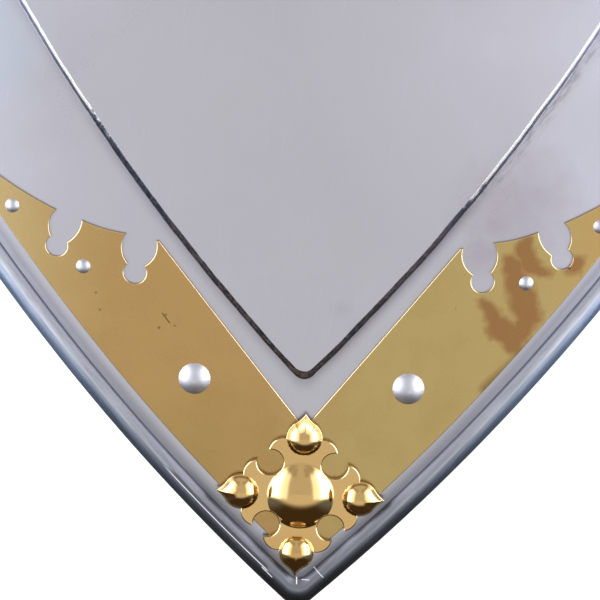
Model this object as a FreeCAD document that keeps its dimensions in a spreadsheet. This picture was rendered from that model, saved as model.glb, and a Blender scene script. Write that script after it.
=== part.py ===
import FreeCAD, Part
import math
import os
import Sketcher
from FreeCAD import Placement, Rotation, Vector

# A heater shield of one pressed steel sheet with a raised field and a rolled rim, brass mounts with
# bosses at its three corners, and a padded arm rig behind it.
# X runs to the viewer's right, the front faces -Y, Z is up, and the origin is the centre of the
# hanger's eye. The pieces are first laid out from the sharp point of the outline, with the border's
# front face at Y zero on the middle line, and are then moved to the eye. All sizes are millimetres.

# Driving sizes: name, value, meaning
SIZES = (
    ("shield_width", 460, "across the straight sides"),
    ("side_straight", 100, "straight part of a side below the top edge"),
    ("side_radius", 690, "arc of a side, seen from the front"),
    ("bend_radius", 600, "bend of the border's front face about the vertical"),
    ("sheet_thickness", 1.2, "steel sheet"),
    ("outer_round", 6.2, "rounding of the rim's corners"),
    ("inner_round", 3, "rounding of the corners inside the rim"),
    ("rim_diameter", 8.4, "rolled rim"),
    ("rim_rise", 1.3, "rolled rim in front of the border"),
    ("round_margin", 0.05, "flat left between two fillets of a round section"),
    ("wire_clearance", 0.05, "rim wire inside the roll, each side"),
    ("field_inset", 51, "edge of the raised field from the outline"),
    ("field_rise", 1.5, "raised field in front of the border"),
    ("field_round", 3.5, "rounding of the field's corners"),
    ("step_round", 1.2, "rounding of the field's front edge"),
    ("overrun", 30, "how far a cutting shape runs past what it cuts"),
    ("seat_gap", 0.02, "play left under a seated fastener"),
    ("hole_clearance", 0.1, "hole around a shank, each side"),
    ("mount_outer_inset", 11.4, "outer edge of a brass mount from the outline"),
    ("mount_inner_inset", 45.5, "inner edge of a brass mount from the outline"),
    ("mount_throat_inset", 41.6, "inner corner between a mount's two arms, from the outline"),
    ("mount_shift", 0.6, "hand-set shift of the bottom mount across the shield"),
    ("mount_thickness", 0.8, "brass sheet"),
    ("mount_arm", 182, "arm of a brass mount along the outline, from the corner"),
    ("large_rivet_along", 73.8, "large rivet from the corner, along the outline"),
    ("large_rivet_inset", 28, "large rivet from the outline"),
    ("rivet_stagger", 1, "hand-set shift of the rivets along their arms"),
    ("large_head_radius", 4.7, "large rivet's head"),
    ("large_head_height", 2.4, "large rivet's head"),
    ("large_shank_radius", 2.2, "large rivet's shank"),
    ("near_rivet_along", 122, "nearer small rivet from the corner"),
    ("near_rivet_inset", 23.2, "nearer small rivet from the outline"),
    ("far_rivet_along", 149.2, "farther small rivet from the corner"),
    ("far_rivet_inset", 16.5, "farther small rivet from the outline"),
    ("small_head_radius", 2.15, "small rivet's head"),
    ("small_head_height", 1.2, "small rivet's head"),
    ("small_shank_radius", 1.1, "small rivet's shank"),
    ("tail_spread", 0.8, "peened tail beyond its shank"),
    ("tail_height", 1, "peened tail"),
    ("boss_inset", 27.3, "boss centre from the outline"),
    ("boss_reach", 25, "boss centre to the point of an arm"),
    ("boss_thickness", 1.8, "plate of a boss"),
    ("boss_turn", 2.3, "hand-set turn of the bottom boss, in degrees"),
    ("dome_radius", 9.7, "middle dome of a boss"),
    ("dome_height", 4.2, "middle dome over the boss plate"),
    ("lobe_radius", 5.3, "plate round a small dome"),
    ("lobe_dome_radius", 4.9, "small dome of a boss"),
    ("lobe_dome_height", 3.2, "small dome over the boss plate"),
    ("lobe_offset", 17.6, "small dome from the boss centre"),
    ("stud_radius", 2.5, "stud of a boss"),
    ("stud_depth", 3.5, "stud inside its boss"),
    ("washer_radius", 6, "washer behind a boss"),
    ("washer_thickness", 1, "washer behind a boss"),
    ("nut_width", 8, "nut across its flats"),
    ("nut_thickness", 4, "nut of a boss"),
    ("stud_end", 1.5, "stud past its nut"),
    ("thread_clearance", 0.05, "nut and boss round the stud, each side"),
    ("arm_level", 400, "forearm's middle above the point of the outline"),
    ("leather_gap", 0.1, "play between two layers of leather"),
    ("forearm_place", 80, "forearm strap from the middle line"),
    ("forearm_width", 35, "forearm strap"),
    ("forearm_thickness", 3, "forearm strap"),
    ("forearm_height", 150, "forearm strap between its legs"),
    ("forearm_depth", 105, "forearm strap behind the field"),
    ("forearm_bend", 28, "forearm strap at its far corners"),
    ("hand_place", 95, "hand strap from the middle line"),
    ("hand_width", 30, "hand strap"),
    ("hand_thickness", 4, "hand strap"),
    ("hand_height", 104, "hand strap between its legs"),
    ("hand_depth", 48, "hand strap behind the field"),
    ("hand_bend", 24, "hand strap at its far corners"),
    ("foot_length", 26, "foot of a strap on the plate"),
    ("foot_bend", 8, "bend of a strap at its foot"),
    ("foot_rivet_edge", 12, "strap rivet from the foot's end"),
    ("foot_rivet_pitch", 16, "between the two rivets of a foot"),
    ("strap_head_radius", 4, "strap rivet's head"),
    ("strap_head_height", 2, "strap rivet's head"),
    ("strap_shank_radius", 1.8, "strap rivet's shank"),
    ("burr_radius", 4.5, "washer under a strap rivet's tail"),
    ("burr_thickness", 0.8, "washer under a strap rivet's tail"),
    ("bar_radius", 2, "wire of the buckle and of the rings"),
    ("pivot_clearance", 0.15, "running play round a pivot bar, each side"),
    ("buckle_window", 22, "between the buckle's two bars"),
    ("buckle_side_gap", 1.5, "strap to the buckle's side wire"),
    ("buckle_corner", 3.2, "bend of the buckle's wire"),
    ("buckle_drop", 14, "hinge bar below the forearm's middle"),
    ("tongue_radius", 1.6, "wire of the buckle's tongue"),
    ("tongue_thinning", 0.15, "pin of the tongue thinner than its eye, each side"),
    ("tongue_end", 4, "tongue past the buckle's far bar"),
    ("slot_clearance", 0.6, "slot round the tongue, each side"),
    ("bar_gap", 0.3, "strap to the buckle's far bar"),
    ("tail_bend", 6, "bend of the strap's tail under the far bar"),
    ("tail_slope", 35, "tail through the buckle, in degrees"),
    ("fold_slope", 25, "turned leaf towards the main one, in degrees"),
    ("chape_leaf", 28, "turned leaf of the strap from the hinge bar"),
    ("tail_length", 56, "strap's tail past the hinge bar"),
    ("tail_point", 12, "pointed end of the tail"),
    ("hole_pitch", 20, "between the holes of the tail"),
    ("keeper_place", 38, "keeper loop from the hinge bar"),
    ("keeper_length", 10, "keeper loop along the strap"),
    ("keeper_thickness", 2, "keeper's leather"),
    ("keeper_clearance", 0.2, "keeper round the strap, each side"),
    ("pad_place", 40, "pad's middle from the middle line"),
    ("pad_length", 180, "pad across the shield"),
    ("pad_height", 124, "pad up the shield"),
    ("pad_crown", 26, "pad at its middle"),
    ("pad_edge", 9, "pad at its rim"),
    ("pad_draw", 4, "how far the pad's sides pull in"),
    ("pad_corner", 14, "rounding of the pad's corners"),
    ("pad_clearance", 0.3, "pad to the plate"),
    ("pad_rivet_edge", 16, "pad rivet from the pad's sides"),
    ("pad_seat", 5, "pad under a pad rivet's washer"),
    ("hanger_drop", 92, "hanger's rivets below the top edge"),
    ("hanger_width", 44, "hanger's foot"),
    ("hanger_thickness", 2, "hanger's strip"),
    ("hanger_foot", 24, "hanger's foot along the plate"),
    ("hanger_offset", 10, "hanger's head behind its foot"),
    ("hanger_ramp", 12, "height of the hanger's joggle"),
    ("hanger_head", 30, "hanger's head"),
    ("hanger_bend", 4, "bends of the hanger"),
    ("hanger_rivet_pitch", 26, "between the hanger's rivets"),
    ("eye_radius", 4, "hole that takes the wall hook"),
    ("eye_edge", 13, "eye below the hanger's upper end"),
    ("ring_place", 140, "ring from the middle line"),
    ("ring_drop", 110, "ring's bar below the top edge"),
    ("ring_width", 30, "ring between its side wires' middles"),
    ("ring_leg", 8, "straight side of a ring"),
    ("ring_corner", 3.5, "bend of a ring beside its bar"),
    ("tab_width", 19, "tab of a ring"),
    ("tab_thickness", 1.5, "tab of a ring"),
    ("tab_leaf", 26, "tab's leaf from the bar"),
    ("tab_rivet_along", 19, "tab's rivets from the bar"),
    ("tab_rivet_pitch", 10, "between a tab's rivets"),
)

# End of a mount's arm, from the outer edge to the inner one. Each line is an arc: a point on it and
# its end, along the arm as a share of mount_arm and across it as a share of the band's width.
ARM_END_SHARES = (
    ((0.887, 0.176), (0.781, 0.434)),
    ((0.768, 0.305), (0.749, 0.261)),
    ((0.721, 0.173), (0.726, 0.340)),
    ((0.729, 0.457), (0.743, 0.563)),
    ((0.711, 0.674), (0.682, 0.809)),
    ((0.665, 0.698), (0.638, 0.660)),
    ((0.607, 0.581), (0.618, 0.760)),
    ((0.622, 0.889), (0.642, 0.982)),
)
ARM_TIP_SHARE = 0.639

# One quarter of a boss, from the horn on one side of an arm over the arm's point to the horn on the
# other side and round the notch to the next arm: shares of boss_reach along the arm and across it.
BOSS_HORN_SHARES = (0.536, 0.408)
BOSS_HORN_BACK_SHARES = (0.650, 0.345)
BOSS_HORN_ROOT_SHARES = (0.690, 0.212)
BOSS_OGEE_ROOT_SHARES = (0.872, 0.130)
BOSS_OGEE_BEND_SHARES = (0.935, 0.048)
BOSS_NOTCH_SHARE = 0.270

document = FreeCAD.newDocument("heater_shield")
sheet = document.addObject("Spreadsheet::Sheet", "Size")
for row, (alias, value, meaning) in enumerate(SIZES, 1):
    sheet.set(f"A{row}", alias)
    sheet.set(f"B{row}", str(value))
    sheet.set(f"C{row}", meaning)
    sheet.setAlias(f"B{row}", alias)
document.recompute()

sub_parts = []


def size(alias):
    """Value of a named size."""
    return float(sheet.get(alias))


def add(kind, name):
    return document.addObject(kind, name)


def bind(item, **expressions):
    """Tie properties of an object to the sheet; a double underscore stands for a dot."""
    for name, expression in expressions.items():
        item.setExpression(name.replace("__", "."), expression)
    return item


def drawn(name, shape):
    """An object that holds a shape drawn from the named sizes."""
    item = add("Part::Feature", name)
    item.Shape = shape
    return item


def cut(name, base, tool):
    item = add("Part::Cut", name)
    item.Base = base
    item.Tool = tool
    return item


def joined(name, items):
    item = add("Part::MultiFuse", name)
    item.Shapes = items
    return item


def shared(name, items):
    item = add("Part::MultiCommon", name)
    item.Shapes = items
    return item


# Outline of the shield, measured from the sharp point where the two side arcs would meet

HALF_WIDTH = size("shield_width") / 2
SIDE_RADIUS = size("side_radius")
SIDE_CENTRE = HALF_WIDTH - SIDE_RADIUS
TIP_ANGLE = math.acos(-SIDE_CENTRE / SIDE_RADIUS)
SHOULDER = SIDE_RADIUS * math.sin(TIP_ANGLE)
TOP = SHOULDER + size("side_straight")
BEND_RADIUS = size("bend_radius")
SHEET = size("sheet_thickness")
FIELD_BACK = BEND_RADIUS + size("field_rise") - SHEET
OVERRUN = size("overrun")

SHOULDER_RULE = "sqrt(Size.side_radius^2 - (Size.side_radius - Size.shield_width / 2)^2)"
HALF_RULE = "Size.shield_width / 2 - Inset"


def outline_sketch(name, inset_rule, round_rule):
    """The shield's outline moved inwards, upright in the XZ plane, with its three corners rounded."""
    sketch = add("Sketcher::SketchObject", name)
    sketch.addProperty("App::PropertyFloat", "Inset")
    sketch.addProperty("App::PropertyFloat", "Round")
    bind(sketch, Inset=inset_rule, Round=round_rule)
    sketch.recompute()
    inset = sketch.Inset
    corner = sketch.Round
    half = HALF_WIDTH - inset
    top = TOP - inset
    radius = SIDE_RADIUS - inset
    drop = math.sqrt((radius - corner) ** 2 - SIDE_CENTRE ** 2)
    meet = math.atan2(drop, -SIDE_CENTRE)

    def arc(x, y, arc_radius, begin, end):
        circle = Part.Circle(Vector(x, y, 0), Vector(0, 0, 1), arc_radius)
        return Part.ArcOfCircle(circle, begin, end)

    def line(x0, y0, x1, y1):
        return Part.LineSegment(Vector(x0, y0, 0), Vector(x1, y1, 0))

    quarter = math.pi / 2
    sketch.addGeometry([
        line(corner - half, top, half - corner, top),
        arc(half - corner, top - corner, corner, 0, quarter),
        line(half, top - corner, half, SHOULDER),
        arc(SIDE_CENTRE, SHOULDER, radius, -meet, 0),
        arc(0, SHOULDER - drop, corner, math.pi + meet, 2 * math.pi - meet),
        arc(-SIDE_CENTRE, SHOULDER, radius, math.pi, math.pi + meet),
        line(-half, SHOULDER, -half, top - corner),
        arc(corner - half, top - corner, corner, quarter, math.pi),
    ], False)
    start, end, centre, origin = 1, 2, 3, -1
    touching = ((0, end, 1, end), (1, start, 2, start), (2, end, 3, end), (3, start, 4, end),
                (4, start, 5, end), (5, start, 6, start), (6, end, 7, end), (7, start, 0, start))
    for first, first_end, second, second_end in touching:
        sketch.addConstraint(Sketcher.Constraint("Tangent", first, first_end, second, second_end))
    sketch.addConstraint(Sketcher.Constraint("Horizontal", 0))
    sketch.addConstraint(Sketcher.Constraint("Vertical", 2))
    sketch.addConstraint(Sketcher.Constraint("Vertical", 6))
    sketch.addConstraint(Sketcher.Constraint("Equal", 1, 7))
    sketch.addConstraint(Sketcher.Constraint("Equal", 3, 5))
    measures = (
        (("Radius", 1), corner, "Round"),
        (("Radius", 3), radius, "Size.side_radius - Inset"),
        (("Radius", 4), corner, "Round"),
        (("DistanceX", origin, start, 2, start), half, HALF_RULE),
        (("DistanceX", 6, start, origin, start), half, HALF_RULE),
        (("DistanceY", origin, start, 0, start), top, SHOULDER_RULE + " + Size.side_straight - Inset"),
        (("DistanceY", origin, start, 3, centre), SHOULDER, SHOULDER_RULE),
        (("DistanceY", origin, start, 5, centre), SHOULDER, SHOULDER_RULE),
    )
    for kind, value, rule in measures:
        place = sketch.addConstraint(Sketcher.Constraint(*kind, value))
        sketch.setExpression(f"Constraints[{place}]", rule)
    sketch.Placement = Placement(Vector(0, 0, 0), Rotation(Vector(1, 0, 0), 90))
    bind(sketch, Placement__Base__y="-Size.overrun")
    return sketch


def upright(name, base):
    """A flat outline in the XZ plane carried back through the whole depth of the shield."""
    item = add("Part::Extrusion", name)
    item.Base = base
    item.DirMode = "Custom"
    item.Dir = Vector(0, 1, 0)
    item.Solid = True
    return bind(item, LengthFwd="Size.bend_radius / 2 + Size.overrun")


def plan_block(name, inset_rule, round_rule):
    return upright(name, outline_sketch(name + "_outline", inset_rule, round_rule))


def drum(name, radius_rule):
    """A cylinder about the axis of the shield's bend."""
    item = add("Part::Cylinder", name)
    bind(item, Radius=radius_rule, Height="2 * Size.side_radius + Size.side_straight")
    return bind(item, Placement__Base__y="Size.bend_radius", Placement__Base__z="-Size.overrun")


def curved_band(name, outer, inner, front_rule, back_rule):
    """What two outlines, one inside the other, leave between two bent surfaces."""
    frame = cut(name + "_frame", plan_block(name + "_outer", *outer), plan_block(name + "_inner", *inner))
    shell = cut(name + "_shell", drum(name + "_front", front_rule), drum(name + "_back", back_rule))
    return shared(name, [frame, shell])


def from_axis(point):
    return math.hypot(point.x, point.y - BEND_RADIUS)


def rounded(name, base, radius, at=None):
    """Fillet the edges that follow the outline, or only those at one distance from the bend's axis."""
    document.recompute()
    picked = []
    for number, edge in enumerate(base.Shape.Edges, 1):
        ends = [from_axis(vertex.Point) for vertex in edge.Vertexes]
        if max(ends) - min(ends) > size("round_margin"):
            continue
        if at is None or abs(ends[0] - at) < size("round_margin"):
            picked.append((number, radius, radius))
    item = add("Part::Fillet", name)
    item.Base = base
    item.Edges = picked
    return item


# Places on the bent plate

def front_place(x, z, radius):
    """Frame on a bent surface: its X to the right, its Y up and its Z out of the front."""
    turn = Rotation(Vector(0, 0, 1), math.degrees(math.asin(x / radius)))
    depth = BEND_RADIUS - math.sqrt(radius ** 2 - x ** 2)
    return Placement(Vector(x, depth, z), turn * Rotation(Vector(1, 0, 0), 90))


def back_place(x, z):
    """Frame on the field's back: its X along the surface, its Y out of the back and its Z up."""
    turn = Rotation(Vector(0, 0, 1), math.degrees(math.asin(x / FIELD_BACK)))
    depth = BEND_RADIUS - math.sqrt(FIELD_BACK ** 2 - x ** 2)
    return Placement(Vector(x, depth, z), turn)


def hollow_under(width):
    """Depth of the field's hollow back under the middle of a flat piece."""
    return FIELD_BACK - math.sqrt(FIELD_BACK ** 2 - (width / 2) ** 2)


def moved(shape, place):
    copy = shape.copy()
    copy.Placement = place.multiply(copy.Placement)
    return copy


def drills(name, places, radius):
    """Round cutters square to the plate at each place."""
    tool = Part.makeCylinder(radius, 2 * OVERRUN, Vector(0, 0, -OVERRUN))
    return drawn(name, Part.makeCompound([moved(tool, place) for place in places]))


def tip_arm(side):
    """Arm of the bottom mount along a side arc, measured up from the point."""
    def at(along, inset):
        angle = TIP_ANGLE - along / SIDE_RADIUS
        reach = SIDE_RADIUS - inset
        return Vector(side * (SIDE_CENTRE + reach * math.cos(angle)), 0, SHOULDER - reach * math.sin(angle))

    def begin(inset):
        return SIDE_RADIUS * (TIP_ANGLE - math.acos(-SIDE_CENTRE / (SIDE_RADIUS - inset)))

    return at, begin, ()


def flank_arm(side):
    """Arm of a top mount down the side, straight at first and then along the side arc."""
    straight = size("side_straight")

    def at(along, inset):
        if along <= straight:
            return Vector(side * (HALF_WIDTH - inset), 0, TOP - along)
        angle = (along - straight) / SIDE_RADIUS
        reach = SIDE_RADIUS - inset
        return Vector(side * (SIDE_CENTRE + reach * math.cos(angle)), 0, SHOULDER - reach * math.sin(angle))

    return at, lambda inset: inset, (straight,)


def top_arm(side):
    """Arm of a top mount along the top edge."""
    def at(along, inset):
        return Vector(side * (HALF_WIDTH - along), 0, TOP - inset)

    return at, lambda inset: inset, ()


def through(first, middle, last):
    """A line, or an arc where the middle point is off the line."""
    if (first + last).multiply(0.5).distanceToPoint(middle) < size("seat_gap"):
        return Part.LineSegment(first, last).toShape()
    return Part.Arc(first, middle, last).toShape()


def edge_run(arm, inset, last):
    """Edges of an arm at one inset, from its corner to a distance along it."""
    at, begin, breaks = arm
    stops = [begin(inset)] + [stop for stop in breaks if begin(inset) < stop < last] + [last]
    return [through(at(a, inset), at((a + b) / 2, inset), at(b, inset)) for a, b in zip(stops, stops[1:])]


def arm_edges(arm):
    """Outer edge, scalloped end with its two keyholes, and inner edge of a mount's arm."""
    at, begin, breaks = arm
    outer = size("mount_outer_inset")
    inner = size("mount_inner_inset")
    length = size("mount_arm")
    edges = edge_run(arm, outer, length)
    last = at(length, outer)
    for shares in ARM_END_SHARES:
        middle, end = [at(along * length, outer + across * (inner - outer)) for along, across in shares]
        edges.append(Part.Arc(last, middle, end).toShape())
        last = end
    tip = ARM_TIP_SHARE * length
    throat = size("mount_throat_inset")
    for point in (at(tip, inner), at(begin(throat), throat)):
        edges.append(Part.LineSegment(last, point).toShape())
        last = point
    return edges


MOUNT_ARMS = {
    "bottom": (tip_arm(1), tip_arm(-1)),
    "top_left": (flank_arm(-1), top_arm(-1)),
    "top_right": (flank_arm(1), top_arm(1)),
}
MOUNT_FRONT = BEND_RADIUS + size("mount_thickness")


def boss_centre(corner):
    """Centre of a boss on the line that halves its corner."""
    inset = size("boss_inset")
    at, begin, breaks = MOUNT_ARMS[corner][0]
    if corner == "bottom":
        return at(begin(inset), inset)
    return at(inset, inset)


BOSS_TURNS = {"bottom": -size("boss_turn"), "top_left": 45, "top_right": 45}
boss_places = {}
for corner, turn in BOSS_TURNS.items():
    centre = boss_centre(corner)
    place = front_place(centre.x, centre.z, MOUNT_FRONT)
    boss_places[corner] = place.multiply(Placement(Vector(0, 0, 0), Rotation(Vector(0, 0, 1), turn)))


def arm_places(along, inset):
    """Fastener places on the front of the mounts, at one place on every arm."""
    points = []
    for arms in MOUNT_ARMS.values():
        for arm, turn in zip(arms, (-1, 1)):
            points.append(arm[0](along + turn * size("rivet_stagger"), inset))
    return [front_place(point.x, point.z, MOUNT_FRONT) for point in points]


large_places = arm_places(size("large_rivet_along"), size("large_rivet_inset"))
small_places = arm_places(size("near_rivet_along"), size("near_rivet_inset"))
small_places += arm_places(size("far_rivet_along"), size("far_rivet_inset"))

# Fasteners of the rig behind the field, given by their place on the field's front

FIELD_FRONT = BEND_RADIUS + size("field_rise")
ARM_LEVEL = size("arm_level")


def rig_front(x, z, offset_x, offset_z):
    """Place on the field's front in line with a point of a flat piece on its back."""
    local = back_place(x, z)
    point = local.multVec(Vector(offset_x, -SHEET, offset_z))
    turn = local.Rotation.multiply(Rotation(Vector(1, 0, 0), 90))
    return Placement(point, turn)


def foot_rivets(x, height):
    across = size("foot_rivet_pitch") / 2
    up = height / 2 + size("foot_length") - size("foot_rivet_edge")
    return [rig_front(x, ARM_LEVEL, i * across, k * up) for i in (-1, 1) for k in (-1, 1)]


FOREARM_X = size("forearm_place")
HAND_X = -size("hand_place")
forearm_rivets = foot_rivets(FOREARM_X, size("forearm_height"))
hand_rivets = foot_rivets(HAND_X, size("hand_height"))

PAD_X = size("pad_place")
pad_rivet_places = []
for i in (-1, 1):
    for k in (-1, 1):
        x = PAD_X + i * (size("pad_length") / 2 - size("pad_rivet_edge"))
        z = ARM_LEVEL + k * (size("pad_height") / 2 - size("pad_rivet_edge"))
        pad_rivet_places.append(rig_front(x, z, 0, 0))

HANGER_Z = TOP - size("hanger_drop")
hanger_rivet_places = [rig_front(0, HANGER_Z, i * size("hanger_rivet_pitch") / 2, 0) for i in (-1, 1)]

RING_Z = TOP - size("ring_drop")
ring_rivet_places = []
for side in (-1, 1):
    for i in (-1, 1):
        across = i * size("tab_rivet_pitch") / 2
        ring_x = side * size("ring_place")
        ring_rivet_places.append(rig_front(ring_x, RING_Z, across, size("tab_rivet_along")))

EYE_RISE = size("hanger_foot") / 2 + size("hanger_ramp") + size("hanger_head") - size("eye_edge")
EYE_DEPTH = hollow_under(size("hanger_width")) + size("hanger_thickness") / 2 + size("hanger_offset")
eye = back_place(0, HANGER_Z).multVec(Vector(0, EYE_DEPTH, EYE_RISE))
TO_EYE = Placement(eye.negative(), Rotation())


def keep(item, label, place=Placement()):
    """Make an object a sub-part, at its place in the frame whose origin is the eye."""
    item.Label = label
    item.Placement = TO_EYE.multiply(place)
    sub_parts.append(item)
    return item


# Shield plate: rolled rim, border and raised field, with a hole for every shank

rim_front = "Size.bend_radius + Size.rim_rise"
rim_back = rim_front + " - Size.rim_diameter"
rim_block = curved_band("rim_block", ("0", "Size.outer_round"), ("Size.rim_diameter", "Size.inner_round"),
                        rim_front, rim_back)
rim_roll = rounded("rim_roll", rim_block, size("rim_diameter") / 2 - size("round_margin"))


def roll_filling(name, gap_rule, diameter):
    """A round ring inside the roll, smaller than the rim's outside by a gap all round."""
    block = curved_band(name + "_block",
                        (gap_rule, f"Size.outer_round - ({gap_rule})"),
                        (f"Size.rim_diameter - ({gap_rule})", f"Size.inner_round + ({gap_rule})"),
                        f"{rim_front} - ({gap_rule})", f"{rim_back} + ({gap_rule})")
    return rounded(name, block, diameter / 2 - size("round_margin"))


core_diameter = size("rim_diameter") - 2 * SHEET
rim_core = roll_filling("rim_core", "Size.sheet_thickness", core_diameter)
rim_wire = roll_filling("rim_wire_ring", "Size.sheet_thickness + Size.wire_clearance",
                        core_diameter - 2 * size("wire_clearance"))

border_shell = cut("border_shell", drum("border_front", "Size.bend_radius"),
                   drum("border_back", "Size.bend_radius - Size.sheet_thickness"))
border = shared("border", [plan_block("border_block", "Size.rim_diameter / 2",
                                      "Size.outer_round - Size.rim_diameter / 2"), border_shell])
field_shell = cut("field_shell", drum("field_front", "Size.bend_radius + Size.field_rise"),
                  drum("field_foot", "Size.bend_radius - Size.sheet_thickness"))
field_block = shared("field_block", [plan_block("field_plan", "Size.field_inset", "Size.field_round"),
                                     field_shell])
field = rounded("field", field_block, size("step_round"), FIELD_FRONT)
field_hollow = shared("field_hollow", [
    plan_block("hollow_plan", "Size.field_inset + Size.sheet_thickness",
               "Size.field_round - Size.sheet_thickness / 2"),
    drum("hollow_front", "Size.bend_radius + Size.field_rise - Size.sheet_thickness")])

CLEAR = size("hole_clearance")
large_drills = drills("large_drills", large_places, size("large_shank_radius") + CLEAR)
small_drills = drills("small_drills", small_places, size("small_shank_radius") + CLEAR)
stud_drills = drills("stud_drills", boss_places.values(), size("stud_radius") + CLEAR)
rig_places = forearm_rivets + hand_rivets + pad_rivet_places + hanger_rivet_places + ring_rivet_places
rig_drills = drills("rig_drills", rig_places, size("strap_shank_radius") + CLEAR)
all_drills = [large_drills, small_drills, stud_drills, rig_drills]

pressed = joined("pressed_sheet", [rim_roll, border, field])
hollowed = cut("hollowed_sheet", pressed, joined("plate_hollows", [rim_core, field_hollow]))
keep(cut("drilled_sheet", hollowed, joined("plate_drills", all_drills)), "shield_plate")
keep(rim_wire, "rim_wire")

# Brass mounts

mount_shell = cut("mount_shell", drum("mount_front", "Size.bend_radius + Size.mount_thickness"),
                  drum("mount_back", "Size.bend_radius"))
mount_drills = joined("mount_drills", [large_drills, small_drills, stud_drills])
for corner, arms in MOUNT_ARMS.items():
    edges = arm_edges(arms[0]) + arm_edges(arms[1])
    wire = Part.Wire(Part.__sortEdges__(edges))
    wire.translate(Vector(size("mount_shift") if corner == "bottom" else 0, -OVERRUN, 0))
    plan = upright(f"mount_{corner}_plan", drawn(f"mount_{corner}_outline", wire))
    blank = shared(f"mount_{corner}_blank", [plan, mount_shell])
    keep(cut(f"mount_{corner}", blank, mount_drills), f"corner_mount_{corner}")

# Bosses


def boss_outline():
    """Four lobed arms with a point and two horns each, and a round notch between each two arms."""
    reach = size("boss_reach")
    across_notch = Vector(BOSS_NOTCH_SHARE * reach, BOSS_NOTCH_SHARE * reach, 0)

    def spot(shares, side, turn):
        point = Vector(side * shares[1] * reach, shares[0] * reach, 0)
        return Rotation(Vector(0, 0, 1), turn).multVec(point)

    def lobe_side(side, turn):
        point = Vector(side * size("lobe_radius"), size("lobe_offset"), 0)
        return Rotation(Vector(0, 0, 1), turn).multVec(point)

    edges = []
    for turn in (0, 90, 180, 270):
        point = spot((1, 0), 1, turn)
        for side in (-1, 1):
            horn = spot(BOSS_HORN_SHARES, side, turn)
            root = spot(BOSS_HORN_ROOT_SHARES, side, turn)
            ogee = spot(BOSS_OGEE_ROOT_SHARES, side, turn)
            edges.append(Part.Arc(horn, spot(BOSS_HORN_BACK_SHARES, side, turn), root).toShape())
            edges.append(Part.Arc(root, lobe_side(side, turn), ogee).toShape())
            edges.append(Part.Arc(ogee, spot(BOSS_OGEE_BEND_SHARES, side, turn), point).toShape())
        notch = Rotation(Vector(0, 0, 1), turn).multVec(across_notch)
        next_horn = spot(BOSS_HORN_SHARES, 1, turn)
        other_horn = spot(BOSS_HORN_SHARES, -1, turn - 90)
        edges.append(Part.Arc(next_horn, notch, other_horn).toShape())
    return Part.Wire(Part.__sortEdges__(edges))


def dome(name, kind, place):
    """Cap of a ball, as high and as wide as its kind says, that stands on the face at its place."""
    height = size(kind + "_height")
    ball = (size(kind + "_radius") ** 2 + height ** 2) / (2 * height)
    rule = f"(Size.{kind}_radius ^ 2 + Size.{kind}_height ^ 2) / (2 * Size.{kind}_height)"
    item = add("Part::Sphere", name)
    item.Placement = place.multiply(Placement(Vector(0, 0, height - ball), Rotation()))
    return bind(item, Radius=rule, Angle1=f"asin(1 - Size.{kind}_height / ({rule}))")


for corner, place in boss_places.items():
    name = f"boss_{corner}"
    plate = add("Part::Extrusion", name + "_plate")
    plate.Base = drawn(name + "_outline", boss_outline())
    plate.DirMode = "Custom"
    plate.Dir = Vector(0, 0, 1)
    plate.Solid = True
    bind(plate, LengthFwd="Size.boss_thickness")
    front = size("boss_thickness")
    domes = [dome(name + "_dome", "dome", Placement(Vector(0, 0, front), Rotation()))]
    for turn in (0, 90, 180, 270):
        spin = Rotation(Vector(0, 0, 1), turn)
        centre = spin.multVec(Vector(0, size("lobe_offset"), front))
        domes.append(dome(f"{name}_lobe_{turn}", "lobe_dome", Placement(centre, spin)))
    socket = add("Part::Cylinder", name + "_socket")
    bind(socket, Radius="Size.stud_radius + Size.thread_clearance", Height="Size.stud_depth + Size.seat_gap")
    keep(cut(name, joined(name + "_casting", [plate] + domes), socket), name, place)


# Turned and pressed fasteners; each kind is made once and set in all its places


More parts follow.
